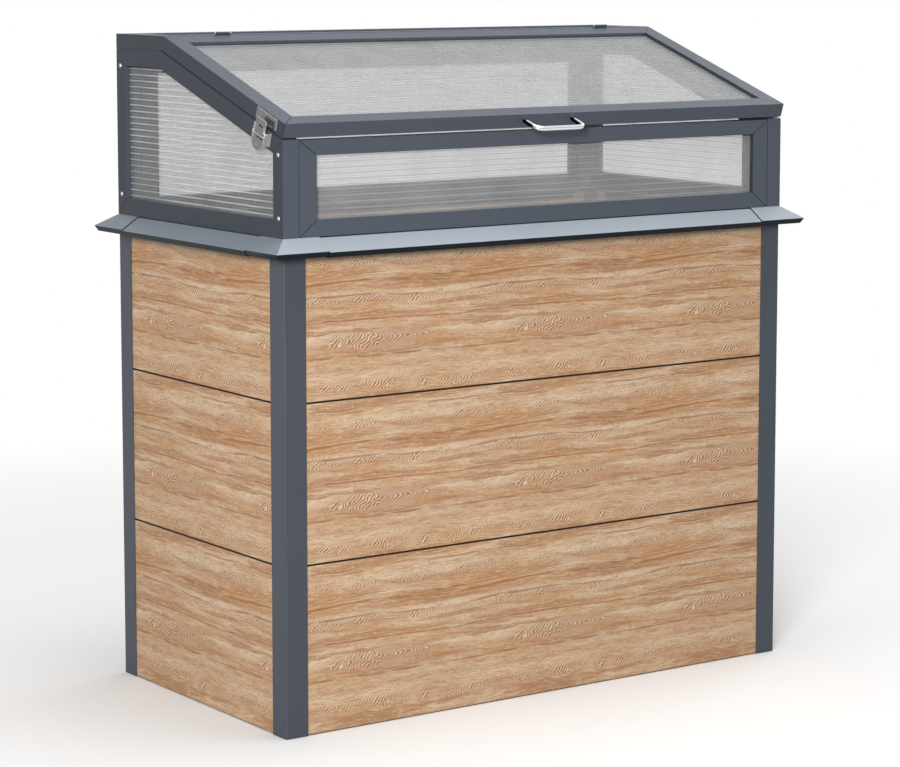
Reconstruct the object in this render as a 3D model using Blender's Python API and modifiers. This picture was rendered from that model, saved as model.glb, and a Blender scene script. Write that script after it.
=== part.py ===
"""A raised bed with a cold frame on it.

Four corner posts hold three rows of chambered boards in their slots. A sloping rim with mitred corner
pieces closes the top, and a glazed box stands on it: two five-sided wall frames, a front and a rear frame,
a flat roof at the rear and a lid that is hinged at the bend of the roof and held by two draw latches.
X runs along the front to the right, Y to the rear, and Z up from the ground under the middle of the bed.
"""

import math

import bmesh
import bpy
from mathutils import Matrix, Vector

# Driving dimensions, in metres
SEAT_GAP = 0.0003

BED_WIDTH = 1.000
BED_DEPTH = 0.520
BOARD_ROWS = 3
LOWEST_BOARD = 0.270
BOARD_PITCH = 0.254
BOARD_THICKNESS = 0.020
BOARD_WALL = 0.003
BOARD_CHAMBERS = 5
SEAM_GAP = 0.0004
SEAM_CHAMFER = 0.0014
TONGUE_WIDTH = 0.006
TONGUE_HEIGHT = 0.008
TONGUE_PLAY = 0.0005

POST_FACE = 0.040
POST_WALL = 0.002
POST_LIP = 0.0017
POST_RADIUS = 0.004
SLOT_DEPTH = 0.012

RIM_OVERHANG = 0.030
RIM_FALL = 0.020
RIM_LIP = 0.0088
RIM_LIP_LEAN = 0.005
RIM_SKIRT = 0.0268
RIM_WALL = 0.002
RIM_SEAT = 0.036
RIM_ARM = 0.065
RIM_STEP = 0.0015
RIM_JOINT = 0.001

WALL_THICKNESS = 0.029
SIDE_RAIL = 0.028
FRONT_TOP_RAIL = 0.024
FRONT_BOTTOM_RAIL = 0.026
FRONT_STILE = 0.032
REAR_TOP_RAIL = 0.042
WALL_JOINT = 0.0006
MITRE_GAP = 0.0003
MITRE_MARK = 0.0006

ROOF_TOP = 0.299
ROOF_DEPTH = 0.158
ROOF_THICKNESS = 0.024
ROOF_RAIL = 0.030
LID_SLOPE = math.radians(18.5)
LID_THICKNESS = 0.0235
LID_RAIL = 0.030
LID_SIDE_GAP = 0.003
LID_FRONT_GAP = 0.004
SEAL_WIDTH = 0.012
SEAL_INSET = 0.006

SHEET_THICKNESS = 0.006
SHEET_PITCH = 0.010
SHEET_SKIN = 0.0007
SHEET_RIB = 0.0007
SHEET_BITE = 0.008
GROOVE_DEPTH = 0.009
WALL_SHEET_RECESS = 0.0085
LID_SHEET_RECESS = 0.006

HINGE_INSET = 0.110
HINGE_LENGTH = 0.028
HINGE_LEAF = 0.018
HINGE_LEAF_THICKNESS = 0.001
HINGE_LEAF_GAP = 0.00015
KNUCKLE_RADIUS = 0.0024
KNUCKLE_BORE = 0.0014
KNUCKLE_SHARE = 0.33
HINGE_PIN_RADIUS = 0.0012
HINGE_HEAD_RADIUS = 0.002
HINGE_HEAD = 0.001

HANDLE_SPAN = 0.096
HANDLE_REACH = 0.037
HANDLE_DROP = 0.0105
HANDLE_ROD = 0.004
HANDLE_BEND = 0.013

LATCH_SHEET = 0.0015
LATCH_PLACE = 0.050
KEEPER_LENGTH = 0.060
KEEPER_HEIGHT = 0.0175
KEEPER_LOW = 0.0045
HOOK_WIDTH = 0.012
HOOK_REACH = 0.0075
HOOK_LIP = 0.006
BASE_LENGTH = 0.040
BASE_TOP = -0.004
BASE_BOTTOM = -0.0275
EAR_SPREAD = 0.0177
EAR_TOP = -0.005
EAR_BOTTOM = -0.0255
EAR_REACH = 0.0105
EAR_RADIUS = 0.003
LEVER_PIVOT_OUT = 0.0055
LEVER_PIVOT_UP = -0.0095
LEVER_PIN_RADIUS = 0.0015
LEVER_WIDTH = 0.0344
LEVER_FACE_OUT = 0.0125
LEVER_FACE_TOP = -0.0190
LEVER_FLANGE = 0.006
LEVER_END = -0.037
LEVER_SHOULDER = 0.0033
LEVER_EYE = 0.0026
DRAW_PIVOT_OUT = 0.0092
DRAW_PIVOT_UP = -0.0145
DRAW_WIDTH = 0.0300
DRAW_TOP = 0.0125
DRAW_SLOT_WIDTH = 0.014
DRAW_SLOT_LOW = -0.0015
DRAW_SLOT_HIGH = 0.003
DRAW_EDGE = 0.004
PIN_PLAY = 0.0003

# Sizes that follow from them
HALF_WIDTH = BED_WIDTH / 2
HALF_DEPTH = BED_DEPTH / 2
BOARD_RECESS = POST_LIP + SEAT_GAP
BED_TOP = LOWEST_BOARD + BOARD_PITCH * (BOARD_ROWS - 1)
RIM_TOP = BED_TOP + RIM_WALL
BEND_Y = HALF_DEPTH - ROOF_DEPTH
BASE_Z = RIM_TOP + SEAT_GAP
ROOF_Z = RIM_TOP + ROOF_TOP
HALF_SLOPE = LID_SLOPE / 2
HINGE_GAP = HINGE_LEAF_GAP + HINGE_LEAF_THICKNESS + SEAT_GAP
LID_LENGTH = (BEND_Y + HALF_DEPTH + LID_THICKNESS * math.sin(LID_SLOPE)) / math.cos(LID_SLOPE)
ROUND_STEPS = 6

X_AXIS = Vector((1, 0, 0))
UP = Vector((0, 0, 1))
UP_SLOPE = Vector((0, math.cos(LID_SLOPE), math.sin(LID_SLOPE)))
LID_NORMAL = Vector((0, -math.sin(LID_SLOPE), math.cos(LID_SLOPE)))
BEND = Vector((0, BEND_Y, ROOF_Z))

FINISHES = {
    "anthracite": ((0.085, 0.098, 0.120), 0.45, 0.0),
    "rim_grey": ((0.142, 0.164, 0.190), 0.40, 0.0),
    "oak_decor": ((0.560, 0.370, 0.210), 0.60, 0.0),
    "twin_wall": ((0.760, 0.780, 0.780), 0.20, 0.0),
    "black_rubber": ((0.015, 0.015, 0.017), 0.80, 0.0),
    "zinc": ((0.620, 0.630, 0.640), 0.30, 1.0),
    "chrome": ((0.780, 0.790, 0.800), 0.12, 1.0),
}


def clear_scene():
    for obj in list(bpy.data.objects):
        bpy.data.objects.remove(obj)


def new_collection(name):
    group = bpy.data.collections.new(name)
    bpy.context.scene.collection.children.link(group)
    return group


def make_materials():
    made = {}
    for name, (colour, roughness, metallic) in FINISHES.items():
        material = bpy.data.materials.new(name)
        material.use_nodes = True
        shader = material.node_tree.nodes["Principled BSDF"]
        shader.inputs["Base Color"].default_value = (*colour, 1)
        shader.inputs["Roughness"].default_value = roughness
        shader.inputs["Metallic"].default_value = metallic
        material.diffuse_color = (*colour, 1)
        made[name] = material
    return made


clear_scene()
PARTS = new_collection("raised_bed_with_cold_frame")
CUTTERS = new_collection("cutters")
MATERIALS = make_materials()


def placed(origin, across, up):
    """A matrix with its X along across, its Y along up and its Z square to both, standing at origin."""
    across = Vector(across).normalized()
    up = Vector(up).normalized()
    matrix = Matrix((across, up, across.cross(up))).transposed().to_4x4()
    matrix.translation = origin
    return matrix


def shared_mesh(outlines, length):
    """A flat outline with its holes, as a filled curve extruded to length about its own plane, made a mesh."""
    curve = bpy.data.curves.new("outline", "CURVE")
    curve.dimensions = "2D"
    curve.fill_mode = "BOTH"
    curve.extrude = length / 2
    for points in outlines:
        spline = curve.splines.new("POLY")
        spline.points.add(len(points) - 1)
        for point, (x, y) in zip(spline.points, points):
            point.co = (x, y, 0, 1)
        spline.use_cyclic_u = True
    return mesh_of_curve(curve)


def mesh_of_curve(curve):
    guide = bpy.data.objects.new("guide", curve)
    PARTS.objects.link(guide)
    graph = bpy.context.evaluated_depsgraph_get()
    mesh = bpy.data.meshes.new_from_object(guide.evaluated_get(graph))
    bpy.data.objects.remove(guide)
    bm = bmesh.new()
    bm.from_mesh(mesh)
    bmesh.ops.remove_doubles(bm, verts=bm.verts, dist=1e-6)
    bmesh.ops.recalc_face_normals(bm, faces=bm.faces)
    bm.to_mesh(mesh)
    bm.free()
    return mesh


def add_part(name, mesh, finish, matrix=None):
    obj = bpy.data.objects.new(name, mesh)
    PARTS.objects.link(obj)
    obj.matrix_world = matrix or Matrix()
    mesh.materials.clear()
    mesh.materials.append(MATERIALS[finish])
    return obj


def extruded(name, outlines, length, matrix, finish):
    return add_part(name, shared_mesh(outlines, length), finish, matrix)


def add_cutter(name, mesh, matrix=None):
    obj = bpy.data.objects.new(name, mesh)
    CUTTERS.objects.link(obj)
    obj.matrix_world = matrix or Matrix()
    obj.hide_render = True
    obj.display_type = "WIRE"
    return obj


def with_boolean(obj, other, operation):
    modifier = obj.modifiers.new(other.name, "BOOLEAN")
    modifier.operation = operation
    modifier.solver = "EXACT"
    modifier.object = other


def joined(obj, helpers):
    for helper in helpers:
        with_boolean(obj, helper, "UNION")
    return obj


def cut(obj, helpers):
    for helper in helpers:
        with_boolean(obj, helper, "DIFFERENCE")
    return obj


def carried_by(empty, objects):
    """Parents the objects to an empty on their joint's axis, where they are."""
    bpy.context.view_layer.update()
    for obj in objects:
        obj.parent = empty
        obj.matrix_parent_inverse = empty.matrix_world.inverted()


def axis_empty(name, matrix):
    empty = bpy.data.objects.new(name, None)
    PARTS.objects.link(empty)
    empty.matrix_world = matrix
    empty.empty_display_size = 0.03
    return empty


# Flat outlines
def rectangle(left, low, right, high):
    return [(left, low), (right, low), (right, high), (left, high)]


def arc(centre, radius, start, end, steps=ROUND_STEPS):
    """Points from the start angle to the end angle, both in degrees and both included."""
    points = []
    for index in range(steps + 1):
        angle = math.radians(start + (end - start) * index / steps)
        points.append((centre[0] + radius * math.cos(angle), centre[1] + radius * math.sin(angle)))
    return points


def circle(centre, radius, steps=16):
    return arc(centre, radius, 0, 360, steps)[:-1]


def inset(points, distances):
    """The outline moved in by one distance for each edge; edge i runs from point i to the next one."""
    lines = []
    for index, distance in enumerate(distances):
        start = Vector(points[index])
        along = (Vector(points[(index + 1) % len(points)]) - start).normalized()
        inward = Vector((-along.y, along.x))
        lines.append((start + inward * distance, along))
    corners = []
    for index, (start, along) in enumerate(lines):
        before, before_along = lines[index - 1]
        reach = (start - before).cross(along) / before_along.cross(along)
        corners.append(tuple(before + before_along * reach))
    return corners


# The bed
SIDES = {
    "front": (Vector((0, -1, 0)), HALF_DEPTH, BED_WIDTH),
    "rear": (Vector((0, 1, 0)), HALF_DEPTH, BED_WIDTH),
    "left": (Vector((-1, 0, 0)), HALF_WIDTH, BED_DEPTH),
    "right": (Vector((1, 0, 0)), HALF_WIDTH, BED_DEPTH),
}
CORNERS = {
    "front_left": (-1, -1),
    "front_right": (1, -1),
    "rear_left": (-1, 1),
    "rear_right": (1, 1),
}


def side_matrix(side):
    """Outlines drawn in this place have X outward from the bed's face plane and Y up from the ground."""
    outward, distance, _ = SIDES[side]
    return placed(outward * distance, outward, UP)


def corner_mesh(bm, corner):
    """Turns a mesh drawn with its outer corner at the origin, reaching to +X and +Y, to a corner of the bed."""
    sign_x, sign_y = CORNERS[corner]
    bmesh.ops.recalc_face_normals(bm, faces=bm.faces)
    for vert in bm.verts:
        vert.co.x = sign_x * (HALF_WIDTH - vert.co.x)
        vert.co.y = sign_y * (HALF_DEPTH - vert.co.y)
    if sign_x != sign_y:
        bmesh.ops.reverse_faces(bm, faces=bm.faces)
    mesh = bpy.data.meshes.new(corner)
    bm.to_mesh(mesh)
    bm.free()
    return mesh


def make_posts():
    """An extruded post: a rounded corner chamber and two lips, which make a slot for each side's boards."""
    slot_start = POST_FACE - SLOT_DEPTH
    slot_back = BOARD_RECESS + BOARD_THICKNESS + SEAT_GAP
    fin = slot_back + POST_WALL
    outline = [
        *arc((POST_RADIUS, POST_RADIUS), POST_RADIUS, 180, 270),
        (POST_FACE, 0),
        (POST_FACE, POST_LIP),
        (slot_start, POST_LIP),
        (slot_start, slot_back),
        (POST_FACE, slot_back),
        (POST_FACE, fin),
        (fin, fin),
        (fin, POST_FACE),
        (slot_back, POST_FACE),
        (slot_back, slot_start),
        (POST_LIP, slot_start),
        (POST_LIP, POST_FACE),
        (0, POST_FACE),
    ]
    inner = slot_start - POST_WALL
    notch = slot_back - POST_WALL
    chamber = [
        (POST_WALL, POST_WALL),
        (inner, POST_WALL),
        (inner, notch),
        (notch, notch),
        (notch, inner),
        (POST_WALL, inner),
    ]
    height = BED_TOP - SEAT_GAP
    for corner in CORNERS:
        bm = bmesh.new()
        bm.from_mesh(shared_mesh([outline, chamber], height))
        bmesh.ops.translate(bm, verts=bm.verts, vec=(0, 0, height / 2))
        add_part(f"post_{corner}", corner_mesh(bm, corner), "anthracite")


def board_outlines(low, high, grooved, tongued):
    """A board's section: X is outward from the bed's face, with the decor face at minus the recess."""
    face = -BOARD_RECESS
    back = face - BOARD_THICKNESS
    middle = (face + back) / 2
    tongue = TONGUE_WIDTH / 2
    groove = tongue + TONGUE_PLAY
    outline = [(back, low)]
    floor = low + BOARD_WALL
    if grooved:
        roof = low + TONGUE_HEIGHT + TONGUE_PLAY
        outline += [(middle - groove, low), (middle - groove, roof), (middle + groove, roof), (middle + groove, low)]
        floor = roof + BOARD_WALL
    outline += [(face - SEAM_CHAMFER, low), (face, low + SEAM_CHAMFER), (face, high - SEAM_CHAMFER)]
    outline += [(face - SEAM_CHAMFER, high)]
    if tongued:
        top = high + TONGUE_HEIGHT
        outline += [(middle + tongue, high), (middle + tongue, top), (middle - tongue, top), (middle - tongue, high)]
    outline += [(back, high)]
    ceiling = high - BOARD_WALL
    step = (ceiling - floor + BOARD_WALL) / BOARD_CHAMBERS
    chambers = []
    for index in range(BOARD_CHAMBERS):
        start = floor + step * index
        chambers.append(rectangle(back + BOARD_WALL, start, face - BOARD_WALL, start + step - BOARD_WALL))
    return [outline, *chambers]


def make_boards():
    end_clearance = POST_FACE - SLOT_DEPTH + SEAT_GAP
    for row in range(BOARD_ROWS):
        low = LOWEST_BOARD + BOARD_PITCH * (row - 1) if row else 0
        high = LOWEST_BOARD + BOARD_PITCH * row - SEAM_GAP
        is_top = row == BOARD_ROWS - 1
        if is_top:
            high = BED_TOP - RIM_STEP - SEAT_GAP
        outlines = board_outlines(low, high, row > 0, not is_top)
        for side, (_, _, length) in SIDES.items():
            name = f"{side}_board_{row + 1}"
            extruded(name, outlines, length - 2 * end_clearance, side_matrix(side), "oak_decor")


# The rim
def rim_tip(top):
    """The rim's outer points: where the slope starts, its outer edge, and the foot of the lip."""
    lip_foot = (RIM_OVERHANG - RIM_LIP_LEAN, top - RIM_FALL - RIM_LIP)
    return (0, top), (RIM_OVERHANG, top - RIM_FALL), lip_foot


def rim_rail_outlines():
    """A rim rail's section: a seat over the boards, an outer and an inner leg, and a hollow overhang."""
    top = RIM_TOP - RIM_STEP
    start, tip, foot = rim_tip(top)
    leg_foot = top - RIM_SKIRT - RIM_WALL
    leg_front = -BOARD_RECESS + SEAT_GAP
    seat = top - RIM_WALL
    board_back = -BOARD_RECESS - BOARD_THICKNESS - SEAT_GAP
    inner_foot = seat - RIM_SKIRT / 2
    outline = [
        (leg_front, leg_foot),
        (0, leg_foot),
        foot,
        tip,
        start,
        (-RIM_SEAT, top),
        (-RIM_SEAT, seat),
        (board_back - RIM_WALL, seat),
        (board_back - RIM_WALL, inner_foot),
        (board_back, inner_foot),
        (board_back, seat),
        (leg_front, seat),
    ]
    hollow = inset([(0, leg_foot), foot, tip, start], [RIM_WALL, RIM_WALL, RIM_WALL, 0])
    return [outline, hollow]


def make_rim_rails():
    for side, (_, _, length) in SIDES.items():
        rail_length = length - 2 * (RIM_ARM + RIM_JOINT)
        extruded(f"{side}_rim", rim_rail_outlines(), rail_length, side_matrix(side), "rim_grey")


def make_rim_corners():
    """A corner piece: the rim's slope swept round the corner, open below, with a plate over the post."""
    start, tip, foot = rim_tip(RIM_TOP)
    slope = Vector((tip[0] - start[0], tip[1] - start[1])).normalized()
    lean = Vector((foot[0] - tip[0], foot[1] - tip[1])).normalized()
    below = Vector((slope.y, -slope.x)) * RIM_WALL
    behind = Vector((lean.y, -lean.x)) * RIM_WALL
    under_start = Vector(start) + below
    under_tip = under_start + slope * ((Vector(foot) + behind - under_start).cross(lean) / slope.cross(lean))
    seat = RIM_TOP - RIM_WALL
    profile = [
        (-RIM_SEAT - RIM_WALL, RIM_TOP),
        start,
        tip,
        foot,
        tuple(Vector(foot) + behind),
        tuple(under_tip),
        (0, RIM_TOP - RIM_WALL / slope.x),
        (0, seat),
        (-RIM_SEAT - RIM_WALL, seat),
    ]
    for corner in CORNERS:
        bm = bmesh.new()
        section = bm.faces.new([bm.verts.new((RIM_ARM, -out, up)) for out, up in profile])
        middle = bmesh.ops.extrude_face_region(bm, geom=[section])["geom"]
        for vert in (item for item in middle if isinstance(item, bmesh.types.BMVert)):
            vert.co.x = vert.co.y
        turned = next(item for item in middle if isinstance(item, bmesh.types.BMFace))
        far = bmesh.ops.extrude_face_region(bm, geom=[turned])["geom"]
        for vert in (item for item in far if isinstance(item, bmesh.types.BMVert)):
            vert.co.y = RIM_ARM
        bmesh.ops.delete(bm, geom=[turned], context="FACES_ONLY")
        add_part(f"rim_corner_{corner}", corner_mesh(bm, corner), "rim_grey")


# Twin-wall sheets
def cell_levels(height):
    """The heights of a sheet's ribs, from one edge to the other: solid stretches and cells take turns."""
    cells = int((height - 2 * SHEET_SKIN) / SHEET_PITCH)
    margin = (height - cells * SHEET_PITCH) / 2
    levels = [0]
    for index in range(cells):
        low = margin + index * SHEET_PITCH
        levels += [low + SHEET_RIB / 2, low + SHEET_PITCH - SHEET_RIB / 2]
    return [*levels, height]


def sheet_mesh(width, height):
    """A twin-wall sheet: X through its thickness, Y up, and open cells that run along its width, Z."""
    columns = [0, SHEET_SKIN, SHEET_THICKNESS - SHEET_SKIN, SHEET_THICKNESS]
    levels = cell_levels(height)
    rows = len(levels) - 1
    bm = bmesh.new()
    bmesh.ops.create_grid(bm, x_segments=3, y_segments=rows, size=0.5)
    for vert in bm.verts:
        column = round((vert.co.x + 0.5) * 3)
        row = round((vert.co.y + 0.5) * rows)
        vert.co = (columns[column], levels[row], -width / 2)
    cells = []
    for face in bm.faces:
        centre = face.calc_center_median()
        row = sum(level < centre.y for level in levels) - 1
        if row % 2 and columns[1] < centre.x < columns[2]:
            cells.append(face)
    bmesh.ops.delete(bm, geom=cells, context="FACES_ONLY")
    grown = bmesh.ops.extrude_face_region(bm, geom=bm.faces[:], use_keep_orig=True)["geom"]
    far = [item for item in grown if isinstance(item, bmesh.types.BMVert)]
    bmesh.ops.translate(bm, verts=far, vec=(0, 0, width))
    bmesh.ops.recalc_face_normals(bm, faces=bm.faces)
    mesh = bpy.data.meshes.new("sheet")
    bm.to_mesh(mesh)
    bm.free()
    return mesh


def make_sheet(name, width, height, centre, inward, up):
    """A sheet of this width and height; centre lies on its outer skin, and the cells run along its width."""
    corner = Vector(centre) - Vector(up).normalized() * height / 2
    return add_part(name, sheet_mesh(width, height), "twin_wall", placed(corner, inward, up))


def mitred_rails(names, outer, inner, thickness, matrix, finish):
    """Four rails between two outlines, each drawn short of its mitres; the matrix lies at mid-thickness."""
    rails = []
    for index, name in enumerate(names):
        after = (index + 1) % len(outer)
        start, end = Vector(outer[index]), Vector(outer[after])
        play = (end - start).normalized() * MITRE_GAP
        quad = [start + play, end - play, Vector(inner[after]) - play, Vector(inner[index]) + play]
        rails.append(extruded(name, [[tuple(corner) for corner in quad]], thickness, matrix, finish))
    return rails


# Cold frame walls
def slope_line(y):
    """The height of the side walls' sloping edge at y."""
    drop = (LID_THICKNESS + LID_SIDE_GAP) / math.cos(LID_SLOPE)
    return ROOF_Z - (BEND_Y - y) * math.tan(LID_SLOPE) - drop


WALL_TOP = ROOF_Z - ROOF_THICKNESS - SEAT_GAP
WALL_BEND_Y = BEND_Y + (WALL_TOP - slope_line(BEND_Y)) / math.tan(LID_SLOPE)
FRONT_FRAME_TOP = ROOF_Z - LID_LENGTH * math.sin(LID_SLOPE) - LID_THICKNESS * math.cos(LID_SLOPE) - LID_FRONT_GAP


def side_outline():
    """The five-sided wall, seen from the right: X is the world's Y and Y is the world's Z."""
    return [
        (-HALF_DEPTH, BASE_Z),
        (HALF_DEPTH, BASE_Z),
        (HALF_DEPTH, WALL_TOP),
        (WALL_BEND_Y, WALL_TOP),
        (-HALF_DEPTH, slope_line(-HALF_DEPTH)),
    ]


def mitre_marks(name, outline, window, matrix):
    """Hair-wide slots along the mitres, cut into the outer face: the matrix lies on that face."""
    slots = []
    for outer, inner in zip(outline, window):
        start, end = Vector(outer), Vector(inner)
        along = (end - start).normalized()
        side = Vector((-along.y, along.x)) * MITRE_MARK / 2
        start, end = start - along * MITRE_MARK, end + along * MITRE_MARK
        slots.append([tuple(start + side), tuple(start - side), tuple(end - side), tuple(end + side)])
    return add_cutter(name, shared_mesh(slots, 2 * MITRE_MARK), matrix)


def make_side_wall(side, sign):
    outline = side_outline()
    window = inset(outline, [SIDE_RAIL] * len(outline))
    groove = inset(window, [-GROOVE_DEPTH] * len(window))
    sheet = inset(window, [-SHEET_BITE] * len(window))
    face_x = sign * HALF_WIDTH
    face = placed((face_x, 0, 0), (0, 1, 0), UP)
    inward = Matrix.Translation((-sign * WALL_THICKNESS / 2, 0, 0))
    frame = extruded(f"{side}_wall_frame", [outline, window], WALL_THICKNESS, inward @ face, "anthracite")
    depth = WALL_SHEET_RECESS + SHEET_THICKNESS / 2
    to_groove = Matrix.Translation((-sign * depth, 0, 0))
    groove_mesh = shared_mesh([groove], SHEET_THICKNESS + 2 * SEAT_GAP)
    cut(frame, [add_cutter(f"{side}_wall_groove", groove_mesh, to_groove @ face)])
    cut(frame, [mitre_marks(f"{side}_wall_mitres", outline, window, face)])
    low, high = sheet[0][1], sheet[2][1]
    centre = (face_x - sign * WALL_SHEET_RECESS, (sheet[0][0] + sheet[1][0]) / 2, (low + high) / 2)
    width = sheet[1][0] - sheet[0][0]
    panel = make_sheet(f"{side}_wall_sheet", width, high - low, centre, (-sign, 0, 0), UP)
    above = WALL_THICKNESS
    waste = [sheet[3], (sheet[3][0], high + above), (sheet[4][0] - above, high + above)]
    slope = Vector(sheet[3]) - Vector(sheet[4])
    waste.append(tuple(Vector(sheet[4]) - slope * above / slope.x))
    cut(panel, [add_cutter(f"{side}_wall_slope", shared_mesh([waste], WALL_THICKNESS), inward @ face)])


def make_front_wall():
    left = -HALF_WIDTH + WALL_THICKNESS + WALL_JOINT
    outer = rectangle(left, BASE_Z, -left, FRONT_FRAME_TOP)
    inner = inset(outer, [FRONT_BOTTOM_RAIL, FRONT_STILE, FRONT_TOP_RAIL, FRONT_STILE])
    face = placed((0, -HALF_DEPTH, 0), X_AXIS, UP)
    inward = Matrix.Translation((0, WALL_THICKNESS / 2, 0))
    names = ["front_bottom_rail", "front_right_stile", "front_top_rail", "front_left_stile"]
    rails = mitred_rails(names, outer, inner, WALL_THICKNESS, inward @ face, "anthracite")
    groove = shared_mesh([inset(inner, [-GROOVE_DEPTH] * 4)], SHEET_THICKNESS + 2 * SEAT_GAP)
    to_groove = Matrix.Translation((0, WALL_SHEET_RECESS + SHEET_THICKNESS / 2, 0))
    cutter = add_cutter("front_wall_groove", groove, to_groove @ face)
    for rail in rails:
        cut(rail, [cutter])
    sheet = inset(inner, [-SHEET_BITE] * 4)
    height = sheet[2][1] - sheet[0][1]
    centre = (0, -HALF_DEPTH + WALL_SHEET_RECESS, (sheet[0][1] + sheet[2][1]) / 2)
    make_sheet("front_sheet", sheet[1][0] - sheet[0][0], height, centre, (0, 1, 0), UP)


def make_rear_wall():
    left = -HALF_WIDTH + WALL_THICKNESS + WALL_JOINT
    outer = rectangle(left, BASE_Z, -left, WALL_TOP)
    inner = inset(outer, [FRONT_BOTTOM_RAIL, FRONT_STILE, REAR_TOP_RAIL, FRONT_STILE])
    face = placed((0, HALF_DEPTH, 0), X_AXIS, UP)
    inward = Matrix.Translation((0, -WALL_THICKNESS / 2, 0))
    frame = extruded("rear_wall_frame", [outer, inner], WALL_THICKNESS, inward @ face, "anthracite")
    groove = shared_mesh([inset(inner, [-GROOVE_DEPTH] * 4)], SHEET_THICKNESS + 2 * SEAT_GAP)
    to_groove = Matrix.Translation((0, -WALL_SHEET_RECESS - SHEET_THICKNESS / 2, 0))
    cut(frame, [add_cutter("rear_wall_groove", groove, to_groove @ face)])
    cut(frame, [mitre_marks("rear_wall_mitres", outer, inner, face)])
    sheet = inset(inner, [-SHEET_BITE] * 4)
    height = sheet[2][1] - sheet[0][1]
    centre = (0, HALF_DEPTH - WALL_SHEET_RECESS, (sheet[0][1] + sheet[2][1]) / 2)
    make_sheet("rear_sheet", sheet[1][0] - sheet[0][0], height, centre, (0, -1, 0), UP)


# Roof and lid: both are drawn flat with their top at zero and Y up the slope, and meet in a leaning seam
def seam_cutter(name, facing):
    """A block past one face of the seam: facing is 1 for the roof's face and -1 for the lid's."""
    near, far = facing * HINGE_GAP, -facing * 2 * ROOF_RAIL
    lowest = (-BED_WIDTH, min(near, far), -3 * ROOF_THICKNESS)
    highest = (BED_WIDTH, max(near, far), 2 * KNUCKLE_RADIUS)
    return add_cutter(name, box_mesh(lowest, highest), hinge_matrix(0))


def make_roof():
    outer = rectangle(-HALF_WIDTH, 0, HALF_WIDTH, ROOF_DEPTH)
    inner = inset(outer, [ROOF_RAIL + HINGE_GAP, ROOF_RAIL, ROOF_RAIL, ROOF_RAIL])
    matrix = Matrix.Translation(BEND - UP * ROOF_THICKNESS / 2)
    frame = extruded("roof_frame", [outer, inner], ROOF_THICKNESS, matrix, "anthracite")
    groove = shared_mesh([inset(inner, [-GROOVE_DEPTH] * 4)], SHEET_THICKNESS + 2 * SEAT_GAP)
    depth = LID_SHEET_RECESS + SHEET_THICKNESS / 2
    cut(frame, [seam_cutter("roof_seam", 1)])
    cut(frame, [add_cutter("roof_groove", groove, Matrix.Translation(BEND - UP * depth))])
    cut(frame, [mitre_marks("roof_mitres", outer, inner, Matrix.Translation(BEND))])
    sheet = inset(inner, [-SHEET_BITE] * 4)
    depth_of_sheet = sheet[2][1] - sheet[0][1]
    centre = BEND + Vector((0, (sheet[0][1] + sheet[2][1]) / 2, -LID_SHEET_RECESS))
    make_sheet("roof_sheet", sheet[1][0] - sheet[0][0], depth_of_sheet, centre, (0, 0, -1), (0, 1, 0))


def make_lid(lid_axis):
    outer = rectangle(-HALF_WIDTH, -LID_LENGTH, HALF_WIDTH, 0)
    inner = inset(outer, [LID_RAIL, LID_RAIL, LID_RAIL + HINGE_GAP, LID_RAIL])
    top = placed(BEND, X_AXIS, UP_SLOPE)
    names = ["lid_front_rail", "lid_right_stile", "lid_rear_rail", "lid_left_stile"]
    middle = top @ Matrix.Translation((0, 0, -LID_THICKNESS / 2))
    rails = mitred_rails(names, outer, inner, LID_THICKNESS, middle, "anthracite")
    groove = shared_mesh([inset(inner, [-GROOVE_DEPTH] * 4)], SHEET_THICKNESS + 2 * SEAT_GAP)
    depth = LID_SHEET_RECESS + SHEET_THICKNESS / 2
    groove_cut = add_cutter("lid_groove", groove, top @ Matrix.Translation((0, 0, -depth)))
    seam_cut = seam_cutter("lid_seam", -1)
    for rail in rails:
        cut(rail, [groove_cut])
    for rail in rails[1:]:
        cut(rail, [seam_cut])
    sheet = inset(inner, [-SHEET_BITE] * 4)
    centre = BEND + UP_SLOPE * (sheet[0][1] + sheet[2][1]) / 2 - LID_NORMAL * LID_SHEET_RECESS
    length = sheet[2][1] - sheet[0][1]
    panel = make_sheet("lid_sheet", sheet[1][0] - sheet[0][0], length, centre, -LID_NORMAL, UP_SLOPE)
    carried_by(lid_axis, [*rails, panel, make_handle(top)])


def make_handle(top):
    """A bent rod: two feet square to the lid's front face, two round bends and a straight grip."""
    half = HANDLE_SPAN / 2
    grip = -LID_LENGTH - HANDLE_REACH
    foot = -LID_LENGTH - SEAT_GAP
    left = arc((-half + HANDLE_BEND, grip + HANDLE_BEND), HANDLE_BEND, 180, 270)
    right = arc((half - HANDLE_BEND, grip + HANDLE_BEND), HANDLE_BEND, 270, 360)
    route = [(-half, foot), *left, *right, (half, foot)]
    curve = bpy.data.curves.new("handle", "CURVE")
    curve.dimensions = "3D"
    curve.bevel_depth = HANDLE_ROD
    curve.bevel_resolution = 3
    curve.use_fill_caps = True
    spline = curve.splines.new("POLY")
    spline.points.add(len(route) - 1)
    for point, (x, y) in zip(spline.points, route):
        point.co = (x, y, 0, 1)
    matrix = top @ Matrix.Translation((0, 0, -HANDLE_DROP))
    handle = add_part("lid_handle", mesh_of_curve(curve), "chrome", matrix)
    handle.data.shade_smooth()
    handle.data.set_sharp_from_angle(angle=math.radians(50))
    return handle


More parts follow.
